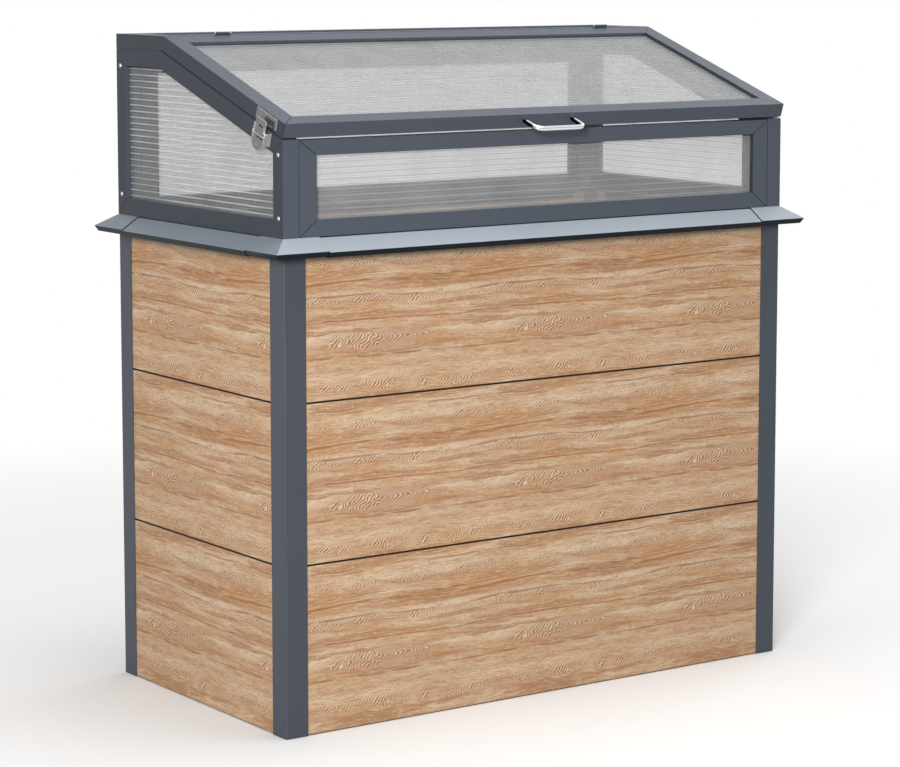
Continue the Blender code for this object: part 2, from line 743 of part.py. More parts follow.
def make_seals():
    """Foam strips on the sloping edges of the side walls, which the lid closes on."""
    length = LID_LENGTH - 4 * SEAL_INSET
    thickness = LID_SIDE_GAP - 2 * SEAT_GAP
    drop = LID_THICKNESS + LID_SIDE_GAP / 2
    for side, sign in (("left", -1), ("right", 1)):
        across = sign * (HALF_WIDTH - SEAL_INSET - SEAL_WIDTH / 2)
        centre = BEND - UP_SLOPE * LID_LENGTH / 2 - LID_NORMAL * drop + X_AXIS * across
        outline = rectangle(-SEAL_WIDTH / 2, -length / 2, SEAL_WIDTH / 2, length / 2)
        extruded(f"{side}_lid_seal", [outline], thickness, placed(centre, X_AXIS, UP_SLOPE), "black_rubber")


# Hinges: drawn about their pin, with X along it, Y to the rear and Z up the plane of the seam
def hinge_matrix(offset):
    seam_up = Vector((0, -math.sin(HALF_SLOPE), math.cos(HALF_SLOPE)))
    to_rear = Vector((0, math.cos(HALF_SLOPE), math.sin(HALF_SLOPE)))
    centre = BEND + seam_up * (KNUCKLE_RADIUS + SEAT_GAP) + X_AXIS * offset
    return placed(centre, X_AXIS, to_rear)


def cylinder_mesh(radius, length, segments=24):
    bm = bmesh.new()
    bmesh.ops.create_cone(
        bm, cap_ends=True, segments=segments, radius1=radius, radius2=radius, depth=length
    )
    mesh = bpy.data.meshes.new("cylinder")
    bm.to_mesh(mesh)
    bm.free()
    return mesh


def cylinder_cutter(name, radius, length, matrix):
    return add_cutter(name, cylinder_mesh(radius, length), matrix)


def box_mesh(lowest, highest):
    bm = bmesh.new()
    bmesh.ops.create_cube(bm, size=1)
    lowest, highest = Vector(lowest), Vector(highest)
    size = highest - lowest
    bmesh.ops.scale(bm, vec=size, verts=bm.verts)
    bmesh.ops.translate(bm, vec=(lowest + highest) / 2, verts=bm.verts)
    mesh = bpy.data.meshes.new("box")
    bm.to_mesh(mesh)
    bm.free()
    return mesh


def hinge_leaf(name, matrix, facing, spans):
    """A leaf with its knuckles over the given spans; facing is 1 for the roof's leaf and -1 for the lid's."""
    along_pin = Matrix.Rotation(math.pi / 2, 4, "Y")
    near = HINGE_LEAF_GAP
    far = near + HINGE_LEAF_THICKNESS
    low_y, high_y = sorted((facing * near, facing * far))
    top = -KNUCKLE_RADIUS - 2 * SEAT_GAP
    half = HINGE_LENGTH / 2
    plate = box_mesh((-half, low_y, -KNUCKLE_RADIUS - HINGE_LEAF), (half, high_y, top))
    leaf = add_part(name, plate, "anthracite", matrix)
    helpers = []
    for index, (start, end) in enumerate(spans):
        tab = box_mesh((start, low_y, top - HINGE_LEAF_THICKNESS), (end, high_y, -KNUCKLE_BORE - SEAT_GAP))
        helpers.append(add_cutter(f"{name}_tab_{index}", tab, matrix))
        place = matrix @ Matrix.Translation(((start + end) / 2, 0, 0)) @ along_pin
        helpers.append(cylinder_cutter(f"{name}_knuckle_{index}", KNUCKLE_RADIUS, end - start, place))
    joined(leaf, helpers)
    bore = cylinder_cutter(f"{name}_bore", KNUCKLE_BORE, 2 * HINGE_LENGTH, matrix @ along_pin)
    return cut(leaf, [bore])


def hinge_pin(name, matrix):
    """A turned pin with two low heads, outside the knuckles."""
    half = HINGE_LENGTH / 2 + SEAT_GAP
    head = half + HINGE_HEAD
    profile = [
        (0, head),
        (HINGE_HEAD_RADIUS, head),
        (HINGE_HEAD_RADIUS, half),
        (HINGE_PIN_RADIUS, half),
        (HINGE_PIN_RADIUS, -half),
        (HINGE_HEAD_RADIUS, -half),
        (HINGE_HEAD_RADIUS, -head),
        (0, -head),
    ]
    mesh = bpy.data.meshes.new(name)
    edges = [(index, index + 1) for index in range(len(profile) - 1)]
    mesh.from_pydata([(x, 0, z) for x, z in profile], edges, [])
    pin = add_part(name, mesh, "zinc", matrix @ Matrix.Rotation(math.pi / 2, 4, "Y"))
    turn = pin.modifiers.new("turn", "SCREW")
    turn.steps = turn.render_steps = 20
    turn.use_merge_vertices = True
    turn.merge_threshold = 1e-5
    turn.use_smooth_shade = True
    return pin


def make_hinges(lid_axis):
    half = HINGE_LENGTH / 2
    centre = HINGE_LENGTH * KNUCKLE_SHARE / 2
    outer = [(-half, -centre - SEAT_GAP), (centre + SEAT_GAP, half)]
    for side, sign in (("left", -1), ("right", 1)):
        matrix = hinge_matrix(sign * (HALF_WIDTH - HINGE_INSET))
        hinge_leaf(f"{side}_hinge_roof_leaf", matrix, 1, outer)
        moving = hinge_leaf(f"{side}_hinge_lid_leaf", matrix, -1, [(-centre, centre)])
        hinge_pin(f"{side}_hinge_pin", matrix)
        carried_by(lid_axis, [moving])


# Latches: drawn with X outward from the side, Y square to the lid and Z along the slope
def latch_matrix(sign):
    """The origin is on the side face, at the lid's lower plane, behind the lid's front face."""
    outward = X_AXIS * sign
    corner = BEND - UP_SLOPE * (LID_LENGTH - LATCH_PLACE) - LID_NORMAL * LID_THICKNESS
    return placed(corner + outward * HALF_WIDTH, outward, LID_NORMAL)


def plate_matrix(matrix, outward):
    """Outlines drawn here have X along the slope and Y square to the lid, at this distance from the face."""
    turn = Matrix(((0, 0, 1), (0, 1, 0), (-1, 0, 0))).to_4x4()
    return matrix @ Matrix.Translation((outward, 0, 0)) @ turn


def make_keeper(side, matrix):
    top = KEEPER_LOW + KEEPER_HEIGHT
    half = KEEPER_LENGTH / 2
    middle = SEAT_GAP + LATCH_SHEET / 2
    plate = [rectangle(-half, KEEPER_LOW, half, top)]
    keeper = extruded(f"{side}_keeper", plate, LATCH_SHEET, plate_matrix(matrix, middle), "zinc")
    inner = SEAT_GAP
    low = KEEPER_LOW - LATCH_SHEET / 2
    shelf = low + LATCH_SHEET
    hook = [
        (inner, low),
        (HOOK_REACH, low),
        (HOOK_REACH, low + HOOK_LIP),
        (HOOK_REACH - LATCH_SHEET, low + HOOK_LIP),
        (HOOK_REACH - LATCH_SHEET, shelf),
        (inner + LATCH_SHEET, shelf),
        (inner + LATCH_SHEET, shelf + LATCH_SHEET),
        (inner, shelf + LATCH_SHEET),
    ]
    return joined(keeper, [add_cutter(f"{side}_keeper_hook", shared_mesh([hook], HOOK_WIDTH), matrix)])


def make_base(side, matrix):
    half = BASE_LENGTH / 2
    middle = SEAT_GAP + LATCH_SHEET / 2
    plate = [rectangle(-half, BASE_BOTTOM, half, BASE_TOP)]
    base = extruded(f"{side}_latch_base", plate, LATCH_SHEET, plate_matrix(matrix, middle), "zinc")
    pivot = (LEVER_PIVOT_OUT, LEVER_PIVOT_UP)
    hole = LEVER_PIN_RADIUS + PIN_PLAY
    corner = EAR_REACH - EAR_RADIUS
    ear = [
        (SEAT_GAP + LATCH_SHEET / 2, EAR_BOTTOM),
        *arc((corner, EAR_BOTTOM + EAR_RADIUS), EAR_RADIUS, -90, 0),
        *arc((corner, EAR_TOP - EAR_RADIUS), EAR_RADIUS, 0, 90),
        (SEAT_GAP + LATCH_SHEET / 2, EAR_TOP),
    ]
    ears = []
    for name, end in (("low", -1), ("high", 1)):
        place = matrix @ Matrix.Translation((0, 0, end * (EAR_SPREAD + LATCH_SHEET / 2)))
        ears.append(add_cutter(f"{side}_ear_{name}", shared_mesh([ear, circle(pivot, hole)], LATCH_SHEET), place))
    return joined(base, ears)


def make_lever(side, matrix):
    """A pressed lever: two cheeks on a pin, and a dished face below them with a round end and an eye."""
    pivot = (LEVER_PIVOT_OUT, LEVER_PIVOT_UP)
    half = LEVER_WIDTH / 2
    inner = half - LATCH_SHEET
    middle = LEVER_FACE_OUT - SEAT_GAP - LATCH_SHEET / 2
    edge = half - LATCH_SHEET / 2
    centre = (0, LEVER_END + half)
    face = [*arc(centre, edge, 180, 360, 12), (edge, LEVER_FACE_TOP), (-edge, LEVER_FACE_TOP)]
    eye = circle((0, LEVER_END + half / 2), LEVER_EYE)
    lever = extruded(f"{side}_latch_lever", [face, eye], LATCH_SHEET, plate_matrix(matrix, middle), "zinc")
    rim_top = LEVER_FACE_TOP + LATCH_SHEET / 2
    rim = [
        *arc(centre, half, 180, 360, 12),
        (half, rim_top),
        (inner, rim_top),
        *arc(centre, inner, 360, 180, 12),
        (-inner, rim_top),
        (-half, rim_top),
    ]
    cheek = [
        *arc(pivot, LEVER_SHOULDER, 60, 180),
        (LEVER_PIVOT_OUT - LEVER_SHOULDER, DRAW_PIVOT_UP),
        (LEVER_FACE_OUT - LEVER_FLANGE, centre[1]),
        (LEVER_FACE_OUT, centre[1]),
        (LEVER_FACE_OUT, DRAW_PIVOT_UP + 2 * LEVER_PIN_RADIUS),
    ]
    draw_hole = circle((DRAW_PIVOT_OUT, DRAW_PIVOT_UP), LEVER_PIN_RADIUS + PIN_PLAY)
    rim_place = plate_matrix(matrix, LEVER_FACE_OUT - LEVER_FLANGE / 2)
    helpers = [add_cutter(f"{side}_lever_rim", shared_mesh([rim], LEVER_FLANGE), rim_place)]
    for name, end in (("low", -1), ("high", 1)):
        place = matrix @ Matrix.Translation((0, 0, end * (half - LATCH_SHEET / 2)))
        helpers.append(add_cutter(f"{side}_cheek_{name}", shared_mesh([cheek, draw_hole], LATCH_SHEET), place))
    pin_length = 2 * (EAR_SPREAD + LATCH_SHEET + SEAT_GAP)
    pin_place = matrix @ Matrix.Translation((*pivot, 0))
    helpers.append(cylinder_cutter(f"{side}_lever_pin", LEVER_PIN_RADIUS, pin_length, pin_place))
    return joined(lever, helpers)


def make_draw_plate(side, matrix):
    """A slotted plate with turned-out edges, on a cross pin that sits in the lever's cheeks."""
    half = DRAW_WIDTH / 2
    middle = HOOK_REACH + 2 * SEAT_GAP + LATCH_SHEET
    low = DRAW_PIVOT_UP - LEVER_PIN_RADIUS / 2
    slot_half = DRAW_SLOT_WIDTH / 2
    outline = rectangle(-half, low, half, DRAW_TOP)
    slot = rectangle(-slot_half, DRAW_SLOT_LOW, slot_half, DRAW_SLOT_HIGH)
    plate = extruded(f"{side}_draw_plate", [outline, slot], LATCH_SHEET, plate_matrix(matrix, middle), "zinc")
    edge_low = DRAW_PIVOT_UP + 2 * DRAW_EDGE
    edge = rectangle(middle, edge_low, middle + LATCH_SHEET / 2 + DRAW_EDGE - LATCH_SHEET, DRAW_SLOT_HIGH)
    helpers = []
    for name, end in (("low", -1), ("high", 1)):
        place = matrix @ Matrix.Translation((0, 0, end * (half - LATCH_SHEET / 2)))
        helpers.append(add_cutter(f"{side}_draw_edge_{name}", shared_mesh([edge], LATCH_SHEET), place))
    pin_place = matrix @ Matrix.Translation((DRAW_PIVOT_OUT, DRAW_PIVOT_UP, 0))
    pin_length = LEVER_WIDTH - SEAT_GAP
    helpers.append(cylinder_cutter(f"{side}_draw_pin", LEVER_PIN_RADIUS, pin_length, pin_place))
    return joined(plate, helpers)


def make_latches(lid_axis):
    for side, sign in (("left", -1), ("right", 1)):
        matrix = latch_matrix(sign)
        carried_by(lid_axis, [make_keeper(side, matrix)])
        make_base(side, matrix)
        lever_pivot = matrix @ Matrix.Translation((LEVER_PIVOT_OUT, LEVER_PIVOT_UP, 0))
        draw_pivot = matrix @ Matrix.Translation((DRAW_PIVOT_OUT, DRAW_PIVOT_UP, 0))
        lever_axis = axis_empty(f"{side}_lever_axis", lever_pivot)
        draw_axis = axis_empty(f"{side}_draw_axis", draw_pivot)
        carried_by(lever_axis, [make_lever(side, matrix), draw_axis])
        carried_by(draw_axis, [make_draw_plate(side, matrix)])


def main():
    make_posts()
    make_boards()
    make_rim_rails()
    make_rim_corners()
    make_side_wall("left", -1)
    make_side_wall("right", 1)
    make_front_wall()
    make_rear_wall()
    make_roof()
    lid_axis = axis_empty("lid_axis", hinge_matrix(0))
    make_lid(lid_axis)
    make_seals()
    make_hinges(lid_axis)
    make_latches(lid_axis)


main()
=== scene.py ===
"""Looks for the raised bed with a cold frame: coats, oak print, twin-wall sheet, hardware and the stage.

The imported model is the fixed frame. Each operator below finishes or adds one group of pieces, in metres,
with X to the right along the front, Y to the rear and Z up from the ground.
"""

import math

import bpy
from mathutils import Matrix, Vector


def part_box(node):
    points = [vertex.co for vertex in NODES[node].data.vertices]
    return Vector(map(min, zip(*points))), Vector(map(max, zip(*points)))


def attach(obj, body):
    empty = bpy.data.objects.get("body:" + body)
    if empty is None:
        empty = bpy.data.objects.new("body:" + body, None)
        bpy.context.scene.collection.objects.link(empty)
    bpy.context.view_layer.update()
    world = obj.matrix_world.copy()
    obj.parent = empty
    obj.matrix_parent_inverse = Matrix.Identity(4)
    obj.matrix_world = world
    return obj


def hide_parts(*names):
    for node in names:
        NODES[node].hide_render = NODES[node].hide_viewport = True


bl_info = {
    "name": "Raised bed with cold frame",
    "version": (1, 0, 0),
    "blender": (4, 5, 0),
    "location": "3D View > Sidebar > Raised Bed",
    "description": "Finishes a packed raised bed and its cold frame, and sets its stage",
    "category": "Object",
}

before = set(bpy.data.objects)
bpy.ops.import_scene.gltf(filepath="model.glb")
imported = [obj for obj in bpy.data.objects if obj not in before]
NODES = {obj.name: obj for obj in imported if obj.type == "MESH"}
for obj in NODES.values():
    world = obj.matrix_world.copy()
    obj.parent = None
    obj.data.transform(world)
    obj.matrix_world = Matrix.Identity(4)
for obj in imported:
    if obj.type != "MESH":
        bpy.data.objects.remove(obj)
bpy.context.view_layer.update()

MIX_FACTOR, MIX_A, MIX_B, MIX_RESULT = 0, 6, 7, 2
NODE_STEP = 190
NODES_IN_ROW = 9

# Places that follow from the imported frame
LID_SLOPE = math.radians(18.5)
LID_THICKNESS = 0.0235
HANDLE_DROP = 0.0105
UP_SLOPE = Vector((0, math.cos(LID_SLOPE), math.sin(LID_SLOPE)))
LID_NORMAL = Vector((0, -math.sin(LID_SLOPE), math.cos(LID_SLOPE)))
X_AXIS = Vector((1, 0, 0))
LID_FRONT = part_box("lid_front_rail")[0]
LID_FRONT_EDGE = Vector((0, LID_FRONT.y, LID_FRONT.z + LID_THICKNESS * math.cos(LID_SLOPE)))
HANDLE_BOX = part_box("lid_handle")
SIDE_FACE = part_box("right_wall_frame")[1].x
FRONT_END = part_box("front_board_1")[1].x
SIDE_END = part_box("right_board_1")[1].y

# Joining and rounding of the meshes
MERGE_DISTANCE = 0.00001
FLAT_ANGLE = math.radians(1)
BEVEL_ANGLE = math.radians(35)
SMOOTH_ANGLE = math.radians(40)

# The side walls' screws: heights of the front two and the lower rear one, and the upper rear one's drop
SCREW_HEIGHTS = (0.030, 0.127, 0.034)
SCREW_DROP = 0.028

# How dark the posts' coat is beside the cold frame's
POST_SHARE = 0.78

# The coats: how far up a normal points where the painted under shade starts, roughness, dust and specular
# level
RAIL_COAT = {"limit": -0.5, "gloss": 0.42, "dust": 0.01, "sheen": 0.2}
POST_COAT = {"limit": -0.5, "gloss": 0.42, "dust": 0.01, "sheen": 0.3}
RIM_COAT = {"limit": 0.3, "gloss": 0.34, "dust": 0.01, "sheen": 0.10}
DUST_COLOUR = (0.42, 0.40, 0.36, 1)

# The plated metals; front is how strongly a painted highlight brightens their front faces
ZINC = {
    "colour": (0.195, 0.195, 0.19), "gloss": 0.20, "cloud": 0.35, "depth": 0.00002,
    "mirror": 0.0, "front": 5.0, "metallic": 0.7,
}
CHROME = {
    "colour": (0.80, 0.81, 0.82), "gloss": 0.07, "cloud": 0.05, "depth": 0.00001,
    "mirror": 1.0, "front": 1.0, "metallic": 1.0,
}
MIRRORED_DARK = (0.012, 0.015, 0.022, 1)

# The sheets' cells, and the lines over their ribs
RIB_PITCH = 0.010
SHEET_SKIN = 0.0007
WALL_LINES = {"line": (0.90, 0.91, 0.91), "haze": 0.14, "line_haze": 0.34, "wobble": 0.0006, "wave": 9.0}
FRONT_LINES = {"line": (0.90, 0.91, 0.91), "haze": 0.10, "line_haze": 0.16, "wobble": 0.0006, "wave": 9.0}
ROOF_LINES = {"line": (0.66, 0.665, 0.67), "haze": 0.20, "line_haze": 0.42, "wobble": 0.0026, "wave": 18.0}

# The boards' print: rows as heights above a board's lower edge and half widths, and the arched figure
RED_ROWS = ((0.166, 0.007), (0.120, 0.009), (0.070, 0.014), (0.192, 0.008), (0.247, 0.010))
PALE_ROWS = ((0.154, 0.008), (0.036, 0.022), (0.212, 0.014))
LINE_ROWS = (
    (0.151, 0.0022), (0.171, 0.0024), (0.179, 0.0014), (0.112, 0.0016), (0.058, 0.0022), (0.232, 0.0018))
RIPPLE_ROWS = ((0.010, 0.0070), (0.145, 0.0070), (0.205, 0.0070))
RIPPLES = 54
LEAN = -1.1
GROWTH_RATE = 1300.0
FIGURE_START = 0.035
FIGURE_HALF = 0.110
FIGURE_LEVEL = 0.080
FIGURE_HEIGHT = 0.0125
FIGURE_ARCH = 520.0
STROKE_PITCH = 0.0078
SEAM_COLOUR = (0.022, 0.016, 0.012, 1)

# The stage's lamps: place, width and power
LAMPS = {
    "key_lamp": ((-3.7, -3.9, 2.1), 1.3, 244.0),
    "top_lamp": ((0.3, -0.3, 3.8), 2.0, 60.0),
    "rear_lamp": ((3.2, 1.2, 2.4), 1.2, 14.0),
}
LAMP_AIM = Vector((0, 0, 0.7))
FLOOR_RADIUS = 16.0
FLOOR_FADE = (0.9, 2.4)
WHITE = (1, 1, 1, 1)

# What every surface's node group puts out
SURFACE_OUTPUTS = (
    ("Colour", "NodeSocketColor"), ("Roughness", "NodeSocketFloat"), ("Height", "NodeSocketFloat"))

BOARDS = [name for name in NODES if "_board_" in name]
POSTS = [name for name in NODES if name.startswith("post_")]
RIMS = [name for name in NODES if name.endswith("_rim") or name.startswith("rim_corner_")]
RAILS = [name for name in NODES if name.endswith(("_frame", "_rail", "_stile"))]
LEAVES = [name for name in NODES if name.endswith("_leaf")]
WALL_SHEETS = ["left_wall_sheet", "right_wall_sheet", "rear_sheet"]
LATCH_ENDS = ("_keeper", "_latch_base", "_latch_lever", "_draw_plate")
LATCHES = [name for name in NODES if name.endswith(LATCH_ENDS)]
PINS = [name for name in NODES if name.endswith("_hinge_pin")]
SEALS = [name for name in NODES if name.endswith("_lid_seal")]


class BedFinishes(bpy.types.PropertyGroup):
    coat: bpy.props.FloatVectorProperty(
        name="Frame coat", description="Powder coat of the posts and the cold frame's rails",
        subtype="COLOR", size=3, min=0, max=1, default=(0.076, 0.089, 0.113))
    # Painted shade: the cold frame's left, right and downward faces take this darker tone
    coat_painted_shade: bpy.props.FloatVectorProperty(
        name="Frame coat at the sides", description="Darker tone of the cold frame's left and right faces",
        subtype="COLOR", size=3, min=0, max=1, default=(0.034, 0.041, 0.054))
    # Partly painted highlight: the rim's coat is slightly paler than the frame's, and set much paler still
    # to stand in for the light its slopes catch
    rim_coat_and_highlight: bpy.props.FloatVectorProperty(
        name="Rim coat", description="Smoother powder coat of the rim",
        subtype="COLOR", size=3, min=0, max=1, default=(0.350, 0.393, 0.441))
    # Painted shade: the rim's left and right slopes take a darker tone than its front
    rim_painted_side_shade: bpy.props.FloatVectorProperty(
        name="Rim coat at the sides", description="Darker tone of the rim's slopes to the left and right",
        subtype="COLOR", size=3, min=0, max=1, default=(0.200, 0.233, 0.272))
    # Painted shade: the rim's lip and the faces under it take a near-black tone
    rim_painted_under_shade: bpy.props.FloatVectorProperty(
        name="Rim underside", description="Darker coat of the rim's lip and underside",
        subtype="COLOR", size=3, min=0, max=1, default=(0.006, 0.009, 0.014))
    oak_light: bpy.props.FloatVectorProperty(
        name="Light oak", description="Palest tone of the boards' printed grain",
        subtype="COLOR", size=3, min=0, max=1, default=(0.745, 0.580, 0.405))
    oak_mid: bpy.props.FloatVectorProperty(
        name="Oak", description="Middle tone of the boards' printed grain",
        subtype="COLOR", size=3, min=0, max=1, default=(0.575, 0.345, 0.190))
    oak_dark: bpy.props.FloatVectorProperty(
        name="Red oak streak", description="Reddish brown streaks and lines of the printed grain",
        subtype="COLOR", size=3, min=0, max=1, default=(0.290, 0.105, 0.038))
    wall_haze: bpy.props.FloatVectorProperty(
        name="Wall sheets", description="Haze of the clear sheets in the walls",
        subtype="COLOR", size=3, min=0, max=1, default=(0.400, 0.405, 0.405))
    front_haze: bpy.props.FloatVectorProperty(
        name="Front sheet", description="Paler haze of the clear sheet in the front wall",
        subtype="COLOR", size=3, min=0, max=1, default=(0.720, 0.725, 0.725))
    roof_haze: bpy.props.FloatVectorProperty(
        name="Roof sheets", description="Haze of the clear sheets in the lid and the roof",
        subtype="COLOR", size=3, min=0, max=1, default=(0.460, 0.465, 0.470))
    foam: bpy.props.FloatVectorProperty(
        name="Foam strip", description="Black foam strip under the lid's sides",
        subtype="COLOR", size=3, min=0, max=1, default=(0.020, 0.020, 0.022))


class BedHardware(bpy.types.PropertyGroup):
    edge: bpy.props.FloatProperty(
        name="Rail edge", description="Rounding of the coated rails' edges",
        subtype="DISTANCE", unit="LENGTH", min=0, default=0.0006)
    plate_edge: bpy.props.FloatProperty(
        name="Plate edge", description="Rounding of the latches' plate edges",
        subtype="DISTANCE", unit="LENGTH", min=0, default=0.0002)
    screw_radius: bpy.props.FloatProperty(
        name="Screw head", description="Radius of the round screw heads on the side walls",
        subtype="DISTANCE", unit="LENGTH", min=0, default=0.0034)
    screw_height: bpy.props.FloatProperty(
        name="Screw head height", description="How far a round screw head stands out",
        subtype="DISTANCE", unit="LENGTH", min=0, default=0.0020)
    screw_inset: bpy.props.FloatProperty(
        name="Screw inset", description="From a side wall's edge to its screws",
        subtype="DISTANCE", unit="LENGTH", min=0, default=0.0125)
    rod: bpy.props.FloatProperty(
        name="Handle rod", description="Radius of the handle's rod",
        subtype="DISTANCE", unit="LENGTH", min=0, default=0.0040)
    bend: bpy.props.FloatProperty(
        name="Handle bend", description="Radius of the handle's bends, at the middle of the rod",
        subtype="DISTANCE", unit="LENGTH", min=0, default=0.013)


class BedStage(bpy.types.PropertyGroup):
    camera: bpy.props.FloatVectorProperty(
        name="Camera", description="Place of the camera",
        subtype="XYZ", unit="LENGTH", size=3, default=(-2.782, -3.959, 1.216))
    turn: bpy.props.FloatProperty(
        name="Camera turn", description="From straight to the rear towards the right",
        subtype="ANGLE", unit="ROTATION", default=0.6111)
    tilt: bpy.props.FloatProperty(
        name="Camera tilt", description="How far the camera looks down",
        subtype="ANGLE", unit="ROTATION", default=0.119)
    lens: bpy.props.FloatProperty(
        name="Lens", description="Focal length", subtype="DISTANCE_CAMERA", unit="CAMERA", default=114.9)
    shift: bpy.props.FloatProperty(
        name="Lens shift", description="Vertical shift of the picture, as a share of its width",
        default=-0.1)
    floor: bpy.props.FloatVectorProperty(
        name="Floor", description="Colour of the floor", subtype="COLOR", size=3, min=0, max=1,
        default=(0.90, 0.90, 0.90))
    bounce: bpy.props.FloatVectorProperty(
        name="Floor's bounce", description="Colour of the light that the floor gives back",
        subtype="COLOR", size=3, min=0, max=1, default=(0.20, 0.20, 0.20))
    daylight: bpy.props.FloatProperty(
        name="Daylight", description="Even light from all round", min=0, default=0.42)


# Node trees
def add_node(tree, kind, inputs=None, **settings):
    """A node with its settings; inputs gives a value or a socket for each socket's name or number."""
    node = tree.nodes.new(kind)
    place = len(tree.nodes)
    node.location = (NODE_STEP * (place % NODES_IN_ROW), -NODE_STEP * (place // NODES_IN_ROW))
    for name, value in settings.items():
        setattr(node, name, value)
    for name, value in (inputs or {}).items():
        if isinstance(value, bpy.types.NodeSocket):
            tree.links.new(value, node.inputs[name])
        else:
            node.inputs[name].default_value = value
    return node


def maths(tree, operation, *values, clamp=False):
    node = add_node(tree, "ShaderNodeMath", dict(enumerate(values)), operation=operation, use_clamp=clamp)
    return node.outputs[0]


def vector(tree, operation, *values, **named):
    node = add_node(tree, "ShaderNodeVectorMath", {**dict(enumerate(values)), **named}, operation=operation)
    return node.outputs["Value" if operation == "DOT_PRODUCT" else "Vector"]


def noise(tree, place, scale, detail=2.0, roughness=0.5):
    inputs = {"Vector": place, "Scale": scale, "Detail": detail, "Roughness": roughness}
    return add_node(tree, "ShaderNodeTexNoise", inputs).outputs[0]


def spread(tree, value, low, high, to_low=0.0, to_high=1.0):
    """Maps low to high onto to_low to to_high, held at both ends."""
    inputs = {"Value": value, "From Min": low, "From Max": high, "To Min": to_low, "To Max": to_high}
    return add_node(tree, "ShaderNodeMapRange", inputs).outputs[0]


def blended(tree, factor, first, second, blend="MIX"):
    inputs = {MIX_FACTOR: factor, MIX_A: first, MIX_B: second}
    node = add_node(tree, "ShaderNodeMix", inputs, data_type="RGBA", blend_type=blend)
    return node.outputs[MIX_RESULT]


def joined_xyz(tree, x, y, z):
    return add_node(tree, "ShaderNodeCombineXYZ", {"X": x, "Y": y, "Z": z}).outputs[0]


def new_group(name, inputs, outputs):
    group = bpy.data.node_groups.new(name, "ShaderNodeTree")
    for label, kind, default in inputs:
        socket = group.interface.new_socket(label, in_out="INPUT", socket_type=kind)
        socket.default_value = default
    for label, kind in outputs:
        group.interface.new_socket(label, in_out="OUTPUT", socket_type=kind)
    entry = group.nodes.new("NodeGroupInput")
    leave = group.nodes.new("NodeGroupOutput")
    return group, entry.outputs, leave.inputs


def place_group(tree, group, **values):
    """The group's outputs, with spaces in its inputs' names written as underscores."""
    node = add_node(tree, "ShaderNodeGroup", node_tree=group)
    for label, value in values.items():
        socket = node.inputs[label.replace("_", " ")]
        if isinstance(value, bpy.types.NodeSocket):
            tree.links.new(value, socket)
        else:
            socket.default_value = value
    return node.outputs


def rgba(colour):
    return (*colour, 1)


def coat_group():
    """Fine-grained powder coat: mottled, with painted shade as darker tones on its sides and underside, and
    a little dust.
    """
    inputs = [
        ("Colour", "NodeSocketColor", (0.1, 0.1, 0.1, 1)),
        ("Under", "NodeSocketColor", (0.1, 0.1, 0.1, 1)),
        ("Side", "NodeSocketColor", (0.1, 0.1, 0.1, 1)),
        ("Under limit", "NodeSocketFloat", -0.5),
        ("Mottle", "NodeSocketFloat", 0.08),
        ("Dust", "NodeSocketFloat", 0.05),
        ("Gloss", "NodeSocketFloat", 0.45),
        ("Grain", "NodeSocketFloat", 1500.0),
    ]
    group, given, leave = new_group("powder_coat", inputs, SURFACE_OUTPUTS)
    place = add_node(group, "ShaderNodeTexCoord").outputs
    grain = noise(group, place["Object"], given["Grain"], 2.0, 0.6)
    cloud = noise(group, place["Object"], 7.0, 4.0, 0.6)
    patch = noise(group, place["Object"], 38.0, 3.0, 0.6)
    facing = add_node(group, "ShaderNodeSeparateXYZ", {0: place["Normal"]}).outputs
    # Painted shade: faces that look left or right take the darker Side tone
    sideways = spread(group, maths(group, "ABSOLUTE", facing[0]), 0.12, 0.30)
    coat = blended(group, sideways, given["Colour"], given["Side"])
    darker = blended(group, 1.0, coat, (0.72, 0.74, 0.78, 1), "MULTIPLY")
    lighter = blended(group, 1.0, coat, (1.30, 1.28, 1.24, 1), "MULTIPLY")
    shade = maths(group, "MULTIPLY_ADD", cloud, 0.6, maths(group, "MULTIPLY", patch, 0.4))
    toned = blended(group, spread(group, shade, 0.3, 0.7), darker, lighter)
    mottled = blended(group, given["Mottle"], coat, toned)
    # Painted shade: faces whose normal points below the Under limit take the dark Under tone
    painted_shade_depth = maths(group, "SUBTRACT", given["Under limit"], facing[2])
    mottled = blended(group, spread(group, painted_shade_depth, 0.0, 0.15), mottled, given["Under"])
    settled = maths(group, "MULTIPLY", spread(group, facing[2], 0.5, 0.95), spread(group, patch, 0.42, 0.7))
    dust = maths(group, "MULTIPLY", settled, given["Dust"])
    group.links.new(blended(group, dust, mottled, DUST_COLOUR), leave["Colour"])
    rougher = maths(group, "ADD", maths(group, "MULTIPLY", patch, 0.05), dust)
    group.links.new(maths(group, "ADD", given["Gloss"], rougher), leave["Roughness"])
    group.links.new(grain, leave["Height"])
    return group


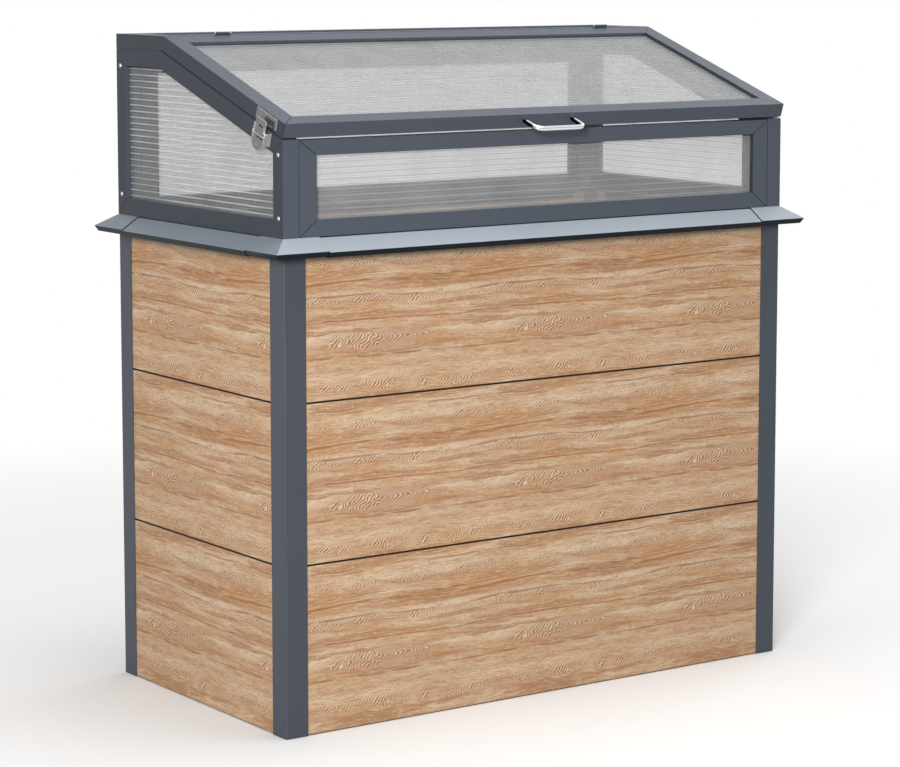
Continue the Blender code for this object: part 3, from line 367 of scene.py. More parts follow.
def oak_group():
    """Printed oak: the same print on each board, with its grain along the board."""
    inputs = [
        ("Light", "NodeSocketColor", (0.7, 0.5, 0.3, 1)),
        ("Middle", "NodeSocketColor", (0.5, 0.35, 0.2, 1)),
        ("Dark", "NodeSocketColor", (0.3, 0.15, 0.1, 1)),
        ("Seam", "NodeSocketFloat", 0.27),
        ("Pitch", "NodeSocketFloat", 0.254),
        ("Repeat", "NodeSocketFloat", 0.358),
    ]
    group, given, leave = new_group("oak_print", inputs, SURFACE_OUTPUTS)
    along, height, chamfer = board_coordinates(group, given)
    ring = print_circle(group, given, along)
    sway = grained(group, ring, height, 5.0, 3.0, 2.0)
    level = maths(group, "ADD", height, centred(group, sway, 0.030))
    base = oak_tones(group, given, ring, level)
    base, fibre = oak_fibres(group, given, base, ring, level)
    figure, strokes = cathedral_figure(group, given, along, ring, level)
    reddish = blended(group, 0.5, given["Middle"], given["Dark"])
    base = blended(group, streak_lines(group, ring, level), base, given["Dark"])
    base = blended(group, maths(group, "MULTIPLY", figure, 0.55), base, reddish)
    base = blended(group, spread(group, strokes, 0.2, 0.9, 0.0, 0.55), base, given["Dark"])
    base = blended(group, spread(group, strokes, -0.15, -0.6, 0.0, 0.85), base, given["Light"])
    ripple = ripple_rows(group, given, along, ring, level)
    base = blended(group, spread(group, ripple, 0.1, 0.6, 0.0, 0.80), base, given["Dark"])
    base = blended(group, spread(group, ripple, -0.1, -0.6, 0.0, 0.95), base, given["Light"])
    seam = spread(group, chamfer, 0.25, 0.40)
    group.links.new(blended(group, seam, base, SEAM_COLOUR), leave["Colour"])
    group.links.new(spread(group, fibre, 0.3, 0.7, 0.52, 0.68), leave["Roughness"])
    group.links.new(fibre, leave["Height"])
    return group


def board_coordinates(group, given):
    """Along a board from its left end as seen, above its lower edge, and how far its face tips."""
    place = add_node(group, "ShaderNodeTexCoord").outputs
    tangent = vector(group, "CROSS_PRODUCT", (0, 0, 1), place["Normal"])
    parts = add_node(group, "ShaderNodeSeparateXYZ", {0: place["Object"]}).outputs
    facing = add_node(group, "ShaderNodeSeparateXYZ", {0: place["Normal"]}).outputs
    sideways = maths(group, "ABSOLUTE", facing[0])
    ends = maths(group, "MULTIPLY_ADD", sideways, SIDE_END - FRONT_END, FRONT_END)
    along = maths(group, "ADD", vector(group, "DOT_PRODUCT", place["Object"], tangent), ends)
    first = maths(group, "SUBTRACT", given["Seam"], given["Pitch"])
    rows = maths(group, "DIVIDE", maths(group, "SUBTRACT", parts[2], first), given["Pitch"])
    rows = maths(group, "MAXIMUM", maths(group, "FLOOR", rows), 0.0)
    below = maths(group, "MULTIPLY_ADD", rows, given["Pitch"], first)
    return along, maths(group, "SUBTRACT", parts[2], below), maths(group, "ABSOLUTE", facing[2])


def print_circle(group, given, along):
    """The place along the board wrapped into a circle, so that the print comes back after its repeat."""
    radius = maths(group, "DIVIDE", given["Repeat"], math.tau)
    turn = maths(group, "DIVIDE", along, radius)
    across = maths(group, "MULTIPLY", radius, maths(group, "COSINE", turn))
    return across, maths(group, "MULTIPLY", radius, maths(group, "SINE", turn))


def grained(group, ring, level, scale, stretch, detail=3.0, roughness=0.6):
    """Noise on the print's circle, drawn out along the board by the stretch."""
    place = joined_xyz(group, ring[0], ring[1], maths(group, "MULTIPLY", level, stretch))
    return noise(group, place, scale, detail, roughness)


def centred(group, value, size):
    """A noise value moved to either side of nought and scaled."""
    return maths(group, "MULTIPLY_ADD", value, size, -size / 2)


def band(group, level, middle, half):
    """One in the middle of a band, and nought beyond its half width."""
    distance = maths(group, "ABSOLUTE", maths(group, "SUBTRACT", level, middle))
    return spread(group, distance, half, half * 0.3)


def bands(group, level, rows):
    """The strongest of several bands, each with its middle and its half width."""
    result = band(group, level, *rows[0])
    for row in rows[1:]:
        result = maths(group, "MAXIMUM", result, band(group, level, *row))
    return result


def oak_tones(group, given, ring, level):
    """Broad cream and tan bands with reddish streaks, stronger along some levels of the board."""
    tone = grained(group, ring, level, 4.2, 9.0, 2.5, 0.55)
    warmth = grained(group, ring, level, 7.0, 7.0, 3.0, 0.5)
    streak = grained(group, ring, level, 5.0, 18.0, 3.0, 0.58)
    base = blended(group, spread(group, tone, 0.43, 0.58), given["Middle"], given["Light"])
    orange = blended(group, 1.0, given["Middle"], (1.05, 0.93, 0.74, 1), "MULTIPLY")
    base = blended(group, spread(group, warmth, 0.48, 0.64, 0.0, 0.8), base, orange)
    reddish = blended(group, 0.50, given["Middle"], given["Dark"])
    rows = bands(group, level, RED_ROWS)
    red = maths(group, "MULTIPLY_ADD", rows, 0.6, spread(group, streak, 0.50, 0.62))
    red = maths(group, "MULTIPLY", red, spread(group, streak, 0.38, 0.52, 0.3, 1.0), clamp=True)
    base = blended(group, maths(group, "MULTIPLY", red, 0.85), base, reddish)
    pale = bands(group, level, PALE_ROWS)
    faint = maths(group, "MULTIPLY", pale, spread(group, tone, 0.36, 0.56, 0.3, 0.9))
    return blended(group, faint, base, given["Light"])


def oak_fibres(group, given, base, ring, level):
    """Fine wavy fibres, dark and light, with closed growth lines where the grain turns: (colour, fibre)."""
    fibre = grained(group, ring, level, 44.0, 15.0, 5.0, 0.85)
    pores = grained(group, ring, level, 110.0, 8.0, 3.0, 0.7)
    bulge = grained(group, ring, level, 9.0, 3.2, 4.0, 0.55)
    growth = maths(group, "ADD", level, centred(group, bulge, 0.16))
    growth = maths(group, "SINE", maths(group, "MULTIPLY", growth, GROWTH_RATE))
    patch = grained(group, ring, level, 12.0, 6.0)
    reddish = blended(group, 0.55, given["Middle"], given["Dark"])
    base = blended(group, spread(group, fibre, 0.51, 0.60, 0.0, 0.80), base, reddish)
    base = blended(group, spread(group, fibre, 0.48, 0.39, 0.0, 0.75), base, given["Light"])
    ringed = spread(group, patch, 0.45, 0.60, 0.08, 0.50)
    ringed = maths(group, "MULTIPLY", spread(group, growth, 0.1, 0.9), ringed)
    base = blended(group, ringed, base, reddish)
    base = blended(group, spread(group, pores, 0.56, 0.68, 0.0, 0.45), base, given["Dark"])
    return base, fibre


def cathedral_figure(group, given, along, ring, level):
    """Slanting strokes that turn into nested arches, once in each repeat: (patch, strokes from -1 to 1)."""
    repeats = maths(group, "DIVIDE", maths(group, "SUBTRACT", along, FIGURE_START), given["Repeat"])
    run = maths(group, "MULTIPLY", maths(group, "FRACT", repeats), given["Repeat"])
    run = maths(group, "SUBTRACT", run, FIGURE_HALF)
    off = maths(group, "SUBTRACT", level, FIGURE_LEVEL)
    slant = maths(group, "MULTIPLY", off, LEAN)
    arch = maths(group, "MULTIPLY", maths(group, "MULTIPLY", off, off), FIGURE_ARCH)
    turned = spread(group, run, -0.015, 0.020)
    bent = add_node(group, "ShaderNodeMix", {0: turned, 2: slant, 3: arch}).outputs[0]
    shake = centred(group, grained(group, ring, level, 13.0, 2.2, 2.0), 0.075)
    quiver = centred(group, grained(group, ring, level, 60.0, 1.3, 3.0), 0.022)
    phase = maths(group, "ADD", maths(group, "ADD", run, bent), maths(group, "ADD", shake, quiver))
    strokes = maths(group, "SINE", maths(group, "MULTIPLY", phase, math.tau / STROKE_PITCH))
    across = maths(group, "DIVIDE", off, FIGURE_HEIGHT)
    lengthwise = maths(group, "DIVIDE", run, FIGURE_HALF)
    reach = maths(group, "MULTIPLY_ADD", across, across, maths(group, "MULTIPLY", lengthwise, lengthwise))
    ragged = maths(group, "MULTIPLY_ADD", shake, 28.0, maths(group, "MULTIPLY", quiver, 60.0))
    patch = spread(group, maths(group, "ADD", reach, ragged), 1.2, 0.4)
    return patch, maths(group, "MULTIPLY", patch, strokes)


def streak_lines(group, ring, level):
    """Thin reddish lines along the whole board, which wander and break off here and there."""
    wander = centred(group, grained(group, ring, level, 4.0, 0.3, 2.0), 0.014)
    lines = bands(group, maths(group, "ADD", level, wander), LINE_ROWS)
    broken = spread(group, grained(group, ring, level, 13.0, 4.0, 3.0), 0.38, 0.54, 0.0, 0.70)
    return maths(group, "MULTIPLY", lines, broken)


def ripple_rows(group, given, along, ring, level):
    """Rows of short slanting strokes, pale and dark, that come and go along the board: from -1 to 1."""
    wander = centred(group, grained(group, ring, level, 14.0, 0.5, 2.0), 0.014)
    rows = bands(group, maths(group, "ADD", level, wander), RIPPLE_ROWS)
    count = maths(group, "DIVIDE", math.tau * RIPPLES, given["Repeat"])
    lean = maths(group, "MULTIPLY_ADD", level, LEAN, along)
    shake = centred(group, grained(group, ring, level, 45.0, 2.4), 17.0)
    strokes = maths(group, "SINE", maths(group, "MULTIPLY_ADD", lean, count, shake))
    here = spread(group, grained(group, ring, level, 18.0, 0.7, 2.0), 0.38, 0.55)
    return maths(group, "MULTIPLY", maths(group, "MULTIPLY", rows, here), strokes)


def sheet_group():
    """Clear twin-wall sheet: hazy skins, a pale line over each rib and a fainter one between two ribs."""
    inputs = [
        ("Colour", "NodeSocketColor", (0.6, 0.6, 0.6, 1)),
        ("Line", "NodeSocketColor", (0.9, 0.9, 0.9, 1)),
        ("Rib direction", "NodeSocketVector", (0, 0, 1)),
        ("First rib", "NodeSocketFloat", 0.0),
        ("Haze", "NodeSocketFloat", 0.13),
        ("Line haze", "NodeSocketFloat", 0.35),
        ("Wobble", "NodeSocketFloat", 0.0005),
        ("Wave", "NodeSocketFloat", 10.0),
    ]
    outputs = (*SURFACE_OUTPUTS, ("Alpha", "NodeSocketFloat"))
    group, given, leave = new_group("twin_wall", inputs, outputs)
    place = add_node(group, "ShaderNodeTexCoord").outputs
    cloud = noise(group, place["Object"], 14.0, 3.0, 0.6)
    wave = noise(group, place["Object"], given["Wave"], 2.0, 0.5)
    level = vector(group, "DOT_PRODUCT", place["Object"], given["Rib direction"])
    level = maths(group, "SUBTRACT", level, given["First rib"])
    level = maths(group, "MULTIPLY_ADD", maths(group, "SUBTRACT", wave, 0.5), given["Wobble"], level)
    part = maths(group, "FRACT", maths(group, "MULTIPLY_ADD", level, 1 / RIB_PITCH, 0.5))
    part = maths(group, "ABSOLUTE", maths(group, "SUBTRACT", part, 0.5))
    offset = maths(group, "MULTIPLY", part, RIB_PITCH)
    between = maths(group, "SUBTRACT", RIB_PITCH / 2, offset)
    line = spread(group, offset, 0.0014, 0.0006)
    faint = spread(group, between, 0.0010, 0.0002, 0.0, 0.30)
    broken = spread(group, wave, 0.36, 0.54, 0.65, 1.0)
    line = maths(group, "MULTIPLY", maths(group, "MAXIMUM", line, faint), broken)
    haze = maths(group, "MULTIPLY", given["Haze"], spread(group, cloud, 0.3, 0.7, 0.85, 1.18))
    facing = maths(group, "ABSOLUTE", vector(group, "DOT_PRODUCT", place["Normal"], given["Rib direction"]))
    skin = add_node(group, "ShaderNodeMix", {0: line, 2: haze, 3: given["Line haze"]}).outputs[0]
    inside = spread(group, facing, 0.5, 0.7)
    alpha = add_node(group, "ShaderNodeMix", {0: inside, 2: skin, 3: 0.12}).outputs[0]
    group.links.new(alpha, leave["Alpha"])
    group.links.new(blended(group, line, given["Colour"], given["Line"]), leave["Colour"])
    group.links.new(spread(group, cloud, 0.3, 0.7, 0.30, 0.36), leave["Roughness"])
    group.links.new(noise(group, place["Object"], 45.0, 2.0, 0.5), leave["Height"])
    return group


def metal_group():
    """Plated metal: cloudy, with fine brush marks, front faces brightened by a painted highlight, and dark
    things mirrored in it.
    """
    inputs = [
        ("Colour", "NodeSocketColor", (0.7, 0.7, 0.7, 1)),
        ("Gloss", "NodeSocketFloat", 0.25),
        ("Cloud", "NodeSocketFloat", 0.2),
        ("Mirror", "NodeSocketFloat", 0.0),
        ("Front", "NodeSocketFloat", 1.0),
    ]
    group, given, leave = new_group("plated_metal", inputs, SURFACE_OUTPUTS)
    place = add_node(group, "ShaderNodeTexCoord").outputs
    cloud = noise(group, place["Object"], 160.0, 3.0, 0.6)
    marks = noise(group, vector(group, "MULTIPLY", place["Object"], (1, 12, 2)), 900.0, 2.0, 0.5)
    shade = maths(group, "MULTIPLY", given["Cloud"], spread(group, cloud, 0.35, 0.65))
    darker = blended(group, 1.0, given["Colour"], (0.62, 0.64, 0.66, 1), "MULTIPLY")
    plated = blended(group, shade, given["Colour"], darker)
    facing = add_node(group, "ShaderNodeSeparateXYZ", {0: place["Normal"]}).outputs
    # Painted highlight: faces that don't look left or right are brightened by Front
    sideways = spread(group, maths(group, "ABSOLUTE", facing[0]), 0.80, 0.97)
    painted_front_highlight = vector(group, "SCALE", plated, Scale=given["Front"])
    plated = blended(group, sideways, painted_front_highlight, plated)
    mirrored = maths(group, "MULTIPLY", given["Mirror"], mirrored_surroundings(group, place["Normal"]))
    group.links.new(blended(group, mirrored, plated, MIRRORED_DARK), leave["Colour"])
    rough = maths(group, "MULTIPLY", given["Cloud"], maths(group, "SUBTRACT", cloud, 0.4))
    group.links.new(maths(group, "ADD", given["Gloss"], rough, clamp=True), leave["Roughness"])
    group.links.new(marks, leave["Height"])
    return group


def mirrored_surroundings(group, normal):
    """Where a bright rod on the lid mirrors dark things: its horizon and the flanks of its legs."""
    facing = add_node(group, "ShaderNodeSeparateXYZ", {0: normal}).outputs
    horizon = band(group, facing[2], 0.14, 0.24)
    forward = maths(group, "ABSOLUTE", vector(group, "DOT_PRODUCT", normal, tuple(UP_SLOPE)))
    flank = maths(
        group, "MULTIPLY", spread(group, forward, 0.30, 0.10), spread(group, facing[2], 0.80, 0.60))
    return maths(group, "MAXIMUM", maths(group, "MULTIPLY", horizon, 0.55), flank)


def shared_group(name, maker):
    return bpy.data.node_groups.get(name) or maker()


def new_material(name, constants):
    """A material, its tree and its Principled shader, with plain values set on the shader's own sockets."""
    material = bpy.data.materials.new(name)
    material.use_nodes = True
    shader = material.node_tree.nodes["Principled BSDF"]
    for socket, value in constants.items():
        shader.inputs[socket].default_value = value
    return material, material.node_tree, shader


def raise_height(tree, shader, height, distance, strength=1.0):
    inputs = {"Height": height, "Distance": distance, "Strength": strength}
    bump = add_node(tree, "ShaderNodeBump", inputs)
    tree.links.new(bump.outputs[0], shader.inputs["Normal"])


def feed(tree, shader, outputs, names):
    for name, socket in names.items():
        tree.links.new(outputs[name], shader.inputs[socket])


def coat_material(name, tones, limit, gloss, dust, sheen):
    """A coat with a tone for its front, and painted shade: a tone for its sides and one for the faces whose
    normal is below the limit.
    """
    material, tree, shader = new_material(name, {"IOR": 1.5, "Specular IOR Level": sheen})
    group = shared_group("powder_coat", coat_group)
    colour, side, painted_under_shade = (rgba(tone) for tone in tones)
    outputs = place_group(
        tree, group, Colour=colour, Side=side, Under=painted_under_shade, Under_limit=limit, Gloss=gloss, Dust=dust)
    feed(tree, shader, outputs, {"Colour": "Base Color", "Roughness": "Roughness"})
    raise_height(tree, shader, outputs["Height"], 0.00008, 0.6)
    return material


def metal_material(name, colour, gloss, cloud, depth, mirror, front, metallic):
    """A plated metal; front says how much a painted highlight brightens its front faces over its left and
    right ones.
    """
    material, tree, shader = new_material(name, {"Metallic": metallic})
    group = shared_group("plated_metal", metal_group)
    outputs = place_group(
        tree, group, Colour=rgba(colour), Gloss=gloss, Cloud=cloud, Mirror=mirror, Front=front)
    feed(tree, shader, outputs, {"Colour": "Base Color", "Roughness": "Roughness"})
    raise_height(tree, shader, outputs["Height"], depth, 0.5)
    return material


def sheet_material(name, colour, direction, line, haze, line_haze, wobble, wave):
    """A sheet's own material, because its pale lines follow its ribs."""
    material, tree, shader = new_material(name, {"IOR": 1.5, "Specular IOR Level": 0.25})
    group = shared_group("twin_wall", sheet_group)
    outputs = place_group(
        tree, group, Colour=rgba(colour), Line=rgba(line), Rib_direction=direction,
        First_rib=first_rib(name, direction), Haze=haze, Line_haze=line_haze, Wobble=wobble, Wave=wave)
    feed(tree, shader, outputs, {"Colour": "Base Color", "Roughness": "Roughness", "Alpha": "Alpha"})
    raise_height(tree, shader, outputs["Height"], 0.0001, 0.3)
    return material


def first_rib(name, direction):
    """How far up the direction a sheet's lowest rib lies: the same even spacing as in the solid."""
    sheet = NODES[name]
    levels = [(sheet.matrix_world @ vert.co).dot(Vector(direction)) for vert in sheet.data.vertices]
    size = max(levels) - min(levels)
    cells = int((size - 2 * SHEET_SKIN) / RIB_PITCH)
    return min(levels) + (size - cells * RIB_PITCH) / 2


def foam_material(settings):
    material, tree, shader = new_material("black_foam", {})
    place = add_node(tree, "ShaderNodeTexCoord").outputs["Object"]
    cells = noise(tree, place, 700.0, 3.0, 0.7)
    paler = tuple(4 * part for part in settings.foam)
    colour = blended(tree, spread(tree, cells, 0.4, 0.8), rgba(settings.foam), rgba(paler))
    tree.links.new(colour, shader.inputs["Base Color"])
    tree.links.new(spread(tree, cells, 0.3, 0.7, 0.75, 0.95), shader.inputs["Roughness"])
    raise_height(tree, shader, cells, 0.0003)
    return material


def shared_metal(name, look):
    return bpy.data.materials.get(name) or metal_material(name, **look)


def paint(names, material):
    for name in names:
        obj = NODES[name]
        obj.data.materials.clear()
        obj.data.materials.append(material)


def soften_edges(names, width):
    """Rounds the nodes' edges with live modifiers, after their flat faces are joined."""
    for name in names:
        obj = NODES[name]
        weld = obj.modifiers.new("merge", "WELD")
        weld.merge_threshold = MERGE_DISTANCE
        flat = obj.modifiers.new("flat_faces", "DECIMATE")
        flat.decimate_type = "DISSOLVE"
        flat.angle_limit = FLAT_ANGLE
        bevel = obj.modifiers.new("edges", "BEVEL")
        bevel.width = width
        bevel.segments = 2
        bevel.limit_method = "ANGLE"
        bevel.angle_limit = BEVEL_ANGLE
        bevel.harden_normals = True


# Modelling steps
def start_piece():
    if bpy.context.object and bpy.context.object.mode != "OBJECT":
        bpy.ops.object.mode_set(mode="OBJECT")
    bpy.ops.object.select_all(action="DESELECT")


def select_faces(obj, test):
    """In edit mode: selects just the faces whose centre and normal pass the test."""
    bpy.ops.object.mode_set(mode="OBJECT")
    for face in obj.data.polygons:
        face.select = test(face.center, face.normal)
    for edge in obj.data.edges:
        edge.select = False
    for vert in obj.data.vertices:
        vert.select = False
    for face in obj.data.polygons:
        if face.select:
            for index in face.vertices:
                obj.data.vertices[index].select = True
    bpy.ops.object.mode_set(mode="EDIT")


def edit(obj):
    bpy.context.view_layer.objects.active = obj
    bpy.ops.object.mode_set(mode="EDIT")
    bpy.ops.mesh.select_mode(type="FACE")
    bpy.ops.mesh.select_all(action="DESELECT")


def finish_piece(obj, name, matrix, material, body):
    """Smooths the piece, puts its place into its mesh, and lets it ride on its body."""
    bpy.ops.object.mode_set(mode="OBJECT")
    bpy.ops.object.shade_smooth_by_angle(angle=SMOOTH_ANGLE)
    return settle_piece(obj, name, matrix, material, body)


def settle_piece(obj, name, matrix, material, body):
    start_piece()
    obj.name = obj.data.name = name
    obj.select_set(True)
    bpy.context.view_layer.objects.active = obj
    obj.matrix_world = matrix
    bpy.ops.object.transform_apply(location=True, rotation=True, scale=True)
    obj.data.materials.clear()
    obj.data.materials.append(material)
    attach(obj, body)
    return obj


def copied(obj, name, matrix, material, body):
    """A copy of a piece that is still at the origin, with a mesh of its own."""
    start_piece()
    obj.select_set(True)
    bpy.context.view_layer.objects.active = obj
    bpy.ops.object.duplicate()
    return settle_piece(bpy.context.object, name, matrix, material, body)


def placed(origin, across, up):
    """A matrix with its X along across, its Y along up and its Z square to both."""
    across = Vector(across).normalized()
    up = Vector(up).normalized()
    matrix = Matrix((across, up, across.cross(up))).transposed().to_4x4()
    matrix.translation = origin
    return matrix


def round_head_screw(radius, height):
    """A round-head screw with a cross recess, at the origin: it stands on its face along Z."""
    start_piece()
    bpy.ops.mesh.primitive_cylinder_add(
        vertices=32, radius=radius, depth=height * 0.4, location=(0, 0, height * 0.2))
    screw = bpy.context.object
    edit(screw)
    select_faces(screw, lambda centre, normal: normal.z > 0.9)
    for share, rise in ((0.10, 0.28), (0.20, 0.20), (0.28, 0.12)):
        bpy.ops.mesh.inset(thickness=radius * share)
        bpy.ops.transform.translate(value=(0, 0, height * rise))
    bpy.ops.object.mode_set(mode="OBJECT")
    for turn in (0, math.pi / 2):
        cut_slot(screw, (radius * 1.15, radius * 0.26, height * 0.9), height, turn)
    return screw


def cut_slot(screw, size, top, turn):
    """Cuts one bar of the cross recess with a tapered block."""
    start_piece()
    bpy.ops.mesh.primitive_cube_add(size=1, location=(0, 0, top), rotation=(0, 0, turn), scale=size)
    cutter = bpy.context.object
    edit(cutter)
    select_faces(cutter, lambda centre, normal: normal.z < -0.9)
    bpy.ops.transform.resize(value=(0.6, 0.7, 1))
    bpy.ops.object.mode_set(mode="OBJECT")
    start_piece()
    screw.select_set(True)
    bpy.context.view_layer.objects.active = screw
    modifier = screw.modifiers.new("recess", "BOOLEAN")
    modifier.operation = "DIFFERENCE"
    modifier.solver = "EXACT"
    modifier.object = cutter
    bpy.ops.object.modifier_apply(modifier="recess")
    bpy.data.objects.remove(cutter)


def bent_rod(radius, half, straight, bend):
    """A round rod with two square bends, drawn in X and Y, whose feet stand on the X axis."""
    start_piece()
    bpy.ops.mesh.primitive_circle_add(
        vertices=32, radius=radius, fill_type="NGON", location=(-half, 0, 0), rotation=(math.pi / 2, 0, 0))
    rod = bpy.context.object
    bpy.ops.object.transform_apply(location=True, rotation=True, scale=True)
    edit(rod)
    bpy.ops.mesh.select_all(action="SELECT")
    extend_rod(0, -straight)
    turn_rod(-half + bend, -straight)
    extend_rod(2 * (half - bend), 0)
    turn_rod(half - bend, -straight)
    extend_rod(0, straight)
    bpy.ops.mesh.select_all(action="SELECT")
    bpy.ops.mesh.remove_doubles(threshold=MERGE_DISTANCE)
    bpy.ops.mesh.normals_make_consistent(inside=False)
    return rod


def extend_rod(x, y):
    bpy.ops.mesh.extrude_region_move(TRANSFORM_OT_translate={"value": (x, y, 0)})


def turn_rod(x, y):
    bpy.ops.mesh.spin(steps=12, angle=math.pi / 2, center=(x, y, 0), axis=(0, 0, -1))


class BED_OT_coat_rails(bpy.types.Operator):
    """Gives the posts, the cold frame's rails and the hinge leaves their grained anthracite coat"""
    bl_idname = "bed.coat_rails"
    bl_label = "Coat rails and posts"

    def execute(self, context):
        colours = context.scene.bed_finishes
        front, side = colours.coat, colours.coat_painted_shade
        post = [POST_SHARE * part for part in front]
        # Painted shade: the rails' left, right and downward faces take the darker side tone
        rail_coat = coat_material("anthracite_coat", (front, side, side), **RAIL_COAT)
        post_coat = coat_material("post_coat", (post, post, post), **POST_COAT)
        paint(RAILS, rail_coat)
        paint(POSTS + LEAVES, post_coat)
        soften_edges(POSTS + RAILS, context.scene.bed_hardware.edge)
        return {"FINISHED"}


class BED_OT_coat_rim(bpy.types.Operator):
    """Gives the rim and its corner pieces their smoother coat, made paler partly by a painted highlight,
    with painted shade on its side slopes, lip and underside
    """
    bl_idname = "bed.coat_rim"
    bl_label = "Coat rim"

    def execute(self, context):
        colours = context.scene.bed_finishes
        tones = colours.rim_coat_and_highlight, colours.rim_painted_side_shade, colours.rim_painted_under_shade
        paint(RIMS, coat_material("rim_coat_and_highlight", tones, **RIM_COAT))
        soften_edges(RIMS, context.scene.bed_hardware.edge)
        return {"FINISHED"}


class BED_OT_print_boards(bpy.types.Operator):
    """Prints the oak grain on the boards"""
    bl_idname = "bed.print_boards"
    bl_label = "Print boards"

    def execute(self, context):
        colours = context.scene.bed_finishes
        material, tree, shader = new_material("oak_print", {"IOR": 1.45, "Specular IOR Level": 0.3})
        group = shared_group("oak_print", oak_group)
        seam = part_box("front_board_1")[1].z
        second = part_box("front_board_2")
        outputs = place_group(
            tree, group, Light=rgba(colours.oak_light), Middle=rgba(colours.oak_mid),
            Dark=rgba(colours.oak_dark), Seam=seam, Pitch=second[1].z - seam)
        feed(tree, shader, outputs, {"Colour": "Base Color", "Roughness": "Roughness"})
        raise_height(tree, shader, outputs["Height"], 0.00015, 0.5)
        paint(BOARDS, material)
        return {"FINISHED"}


class BED_OT_glaze(bpy.types.Operator):
    """Makes the twin-wall sheets clear, with a haze on their skins and whiter ribs"""
    bl_idname = "bed.glaze"
    bl_label = "Glaze"

    def execute(self, context):
        colours = context.scene.bed_finishes
        looks = {name: (colours.wall_haze, (0, 0, 1), WALL_LINES) for name in WALL_SHEETS}
        looks["front_sheet"] = colours.front_haze, (0, 0, 1), FRONT_LINES
        looks["lid_sheet"] = colours.roof_haze, UP_SLOPE, ROOF_LINES
        looks["roof_sheet"] = colours.roof_haze, (0, 1, 0), ROOF_LINES
        for name, (haze, direction, lines) in looks.items():
            paint([name], sheet_material(name, haze, direction, **lines))
        return {"FINISHED"}


class BED_OT_plate_hardware(bpy.types.Operator):
    """Plates the latches and hinge pins with zinc and blackens the foam strips"""
    bl_idname = "bed.plate_hardware"
    bl_label = "Plate hardware"

    def execute(self, context):
        paint(LATCHES + PINS, shared_metal("bright_zinc", ZINC))
        paint(SEALS, foam_material(context.scene.bed_finishes))
        soften_edges(LATCHES, context.scene.bed_hardware.plate_edge)
        return {"FINISHED"}


class BED_OT_add_handle(bpy.types.Operator):
    """Bends the chrome handle from one round rod, in place of its plain solid"""
    bl_idname = "bed.add_handle"
    bl_label = "Handle"

    def execute(self, context):
        sizes = context.scene.bed_hardware
        half = HANDLE_BOX[1].x - sizes.rod
        lowest = LID_FRONT_EDGE - LID_NORMAL * HANDLE_DROP
        tip = (lowest.y - HANDLE_BOX[0].y - sizes.rod) / math.cos(LID_SLOPE)
        handle = bent_rod(sizes.rod, half, tip - sizes.bend, sizes.bend)
        matrix = placed(lowest, X_AXIS, UP_SLOPE)
        chrome = shared_metal("chrome_plate", CHROME)
        piece = finish_piece(handle, "bow_handle", matrix, chrome, "lid")
        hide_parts("lid_handle")
        return {"FINISHED"}


class BED_OT_add_wall_screws(bpy.types.Operator):
    """Sets round-head screws in the upright rails of the two side walls"""
    bl_idname = "bed.add_wall_screws"
    bl_label = "Side wall screws"

    def execute(self, context):
        sizes = context.scene.bed_hardware
        low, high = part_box("right_wall_frame")
        front, rear = low.y + sizes.screw_inset, high.y - sizes.screw_inset
        first, second, third = (low.z + height for height in SCREW_HEIGHTS)
        places = ((front, first), (front, second), (rear, third), (rear, high.z - SCREW_DROP))
        zinc = shared_metal("bright_zinc", ZINC)
        screw = round_head_screw(sizes.screw_radius, sizes.screw_height)
        for side, sign in (("left", -1), ("right", 1)):
            for index, (y, z) in enumerate(places, 1):
                matrix = placed((sign * SIDE_FACE, y, z), (0, sign, 0), (0, 0, 1))
                copied(screw, f"{side}_wall_screw_{index}", matrix, zinc, "bed")
        bpy.data.objects.remove(screw)
        return {"FINISHED"}


class BED_OT_set_stage(bpy.types.Operator):
    """Lays the floor, hangs the lamps and sets up the camera at the photograph's view"""
    bl_idname = "bed.set_stage"
    bl_label = "Stage"

    def execute(self, context):
        stage = context.scene.bed_stage
        lay_floor(stage)
        set_world(context.scene, stage)
        for name, (place, size, power) in LAMPS.items():
            add_lamp(name, place, size, power)
        set_camera(context.scene, stage)
        context.scene.view_settings.view_transform = "Standard"
        context.scene.cycles.transparent_max_bounces = 48
        return {"FINISHED"}


def lay_floor(stage):
    """A pale floor that fades to white away from the object, and keeps the object's shadow."""
    start_piece()
    bpy.ops.mesh.primitive_circle_add(
        vertices=96, radius=FLOOR_RADIUS, fill_type="NGON", location=(0, 0, -0.0005))
    floor = bpy.context.object
    floor.name = "floor"
    bpy.ops.object.transform_apply(location=True, rotation=True, scale=True)
    material, tree, shader = new_material("pale_floor", {"Roughness": 0.9})
    place = add_node(tree, "ShaderNodeTexCoord").outputs["Object"]
    distance = add_node(tree, "ShaderNodeVectorMath", {0: place}, operation="LENGTH").outputs["Value"]
    seen = seen_rays(tree)
    colour = blended(tree, seen, rgba(stage.bounce), rgba(stage.floor))
    tree.links.new(colour, shader.inputs["Base Color"])
    fade = maths(tree, "MULTIPLY", seen, spread(tree, distance, *FLOOR_FADE))
    white = add_node(tree, "ShaderNodeEmission", {"Color": WHITE, "Strength": 1.0}).outputs[0]
    mixed = add_node(tree, "ShaderNodeMixShader", {0: fade, 1: shader.outputs[0], 2: white}).outputs[0]
    tree.links.new(mixed, tree.nodes["Material Output"].inputs["Surface"])
    floor.data.materials.append(material)


def seen_rays(tree):
    """One for the rays that show the stage: from the camera, off metal and through glass."""
    rays = add_node(tree, "ShaderNodeLightPath").outputs
    seen = maths(tree, "MAXIMUM", rays["Is Camera Ray"], rays["Is Glossy Ray"])
    return maths(tree, "MAXIMUM", seen, rays["Is Transmission Ray"])


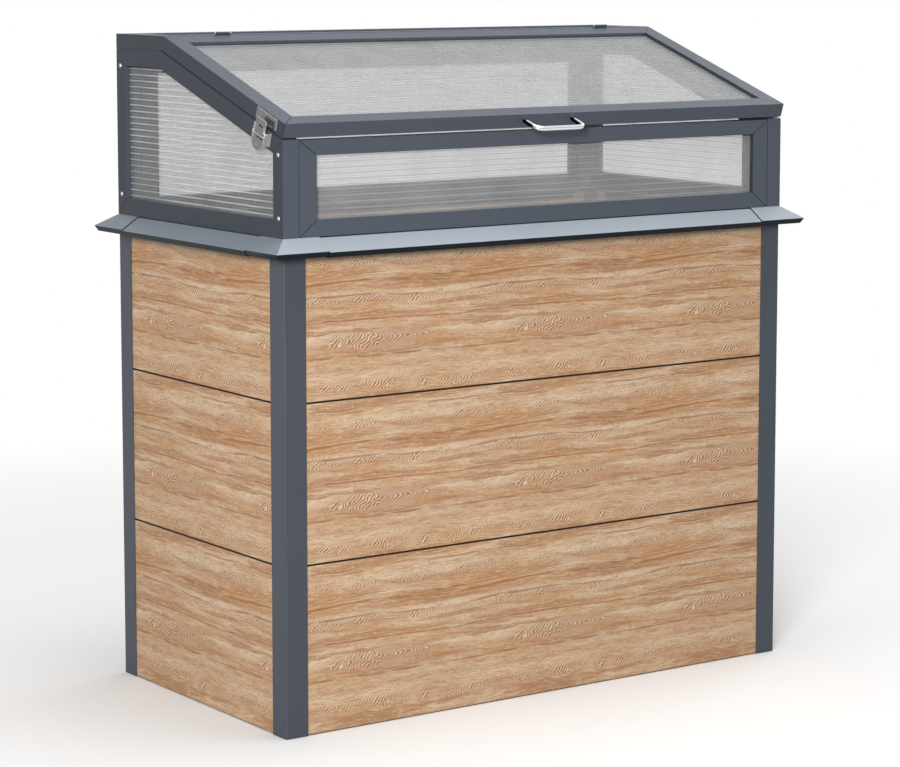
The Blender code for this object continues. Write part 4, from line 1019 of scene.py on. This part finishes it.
def set_world(scene, stage):
    world = scene.world or bpy.data.worlds.new("studio")
    scene.world = world
    world.use_nodes = True
    tree = world.node_tree
    tree.nodes.clear()
    seen = seen_rays(tree)
    even = background(tree, stage.daylight)
    white = background(tree, 1.0)
    mixed = add_node(tree, "ShaderNodeMixShader", {0: seen, 1: even, 2: white}).outputs[0]
    output = add_node(tree, "ShaderNodeOutputWorld")
    tree.links.new(mixed, output.inputs["Surface"])


def background(tree, strength):
    return add_node(tree, "ShaderNodeBackground", {"Color": WHITE, "Strength": strength}).outputs[0]


def add_lamp(name, place, size, power):
    """A square soft lamp that faces the middle of the object."""
    data = bpy.data.lights.new(name, "AREA")
    data.shape = "SQUARE"
    data.size = size
    data.energy = power
    lamp = bpy.data.objects.new(name, data)
    bpy.context.scene.collection.objects.link(lamp)
    lamp.location = place
    aim = LAMP_AIM - Vector(place)
    lamp.rotation_euler = aim.to_track_quat("-Z", "Y").to_euler()


def set_camera(scene, stage):
    data = bpy.data.cameras.new("camera")
    data.sensor_width = 36
    data.lens = stage.lens
    data.shift_y = stage.shift
    camera = bpy.data.objects.new("camera", data)
    scene.collection.objects.link(camera)
    camera.location = stage.camera
    camera.rotation_euler = (math.pi / 2 - stage.tilt, 0, -stage.turn)
    scene.camera = camera


class BED_PT_panel(bpy.types.Panel):
    """Lists the steps that finish the raised bed"""
    bl_idname = "BED_PT_panel"
    bl_label = "Raised Bed"
    bl_space_type = "VIEW_3D"
    bl_region_type = "UI"
    bl_category = "Raised Bed"

    def draw(self, context):
        for settings in (context.scene.bed_finishes, context.scene.bed_hardware, context.scene.bed_stage):
            column = self.layout.column(align=True)
            for name in settings.__annotations__:
                column.prop(settings, name)
        for step in STEPS:
            self.layout.operator(step.bl_idname)


STEPS = (
    BED_OT_coat_rails,
    BED_OT_coat_rim,
    BED_OT_print_boards,
    BED_OT_glaze,
    BED_OT_plate_hardware,
    BED_OT_add_handle,
    BED_OT_add_wall_screws,
    BED_OT_set_stage,
)
GROUPS = {"bed_finishes": BedFinishes, "bed_hardware": BedHardware, "bed_stage": BedStage}
CLASSES = (*GROUPS.values(), *STEPS, BED_PT_panel)


def register():
    for item in CLASSES:
        bpy.utils.register_class(item)
    for name, group in GROUPS.items():
        setattr(bpy.types.Scene, name, bpy.props.PointerProperty(type=group))


def unregister():
    for name in GROUPS:
        delattr(bpy.types.Scene, name)
    for item in reversed(CLASSES):
        bpy.utils.unregister_class(item)


def main():
    register()
    bpy.ops.bed.coat_rails()
    bpy.ops.bed.coat_rim()
    bpy.ops.bed.print_boards()
    bpy.ops.bed.glaze()
    bpy.ops.bed.plate_hardware()
    bpy.ops.bed.add_handle()
    bpy.ops.bed.add_wall_screws()
    bpy.ops.bed.set_stage()


if __name__ == "__main__":
    main()
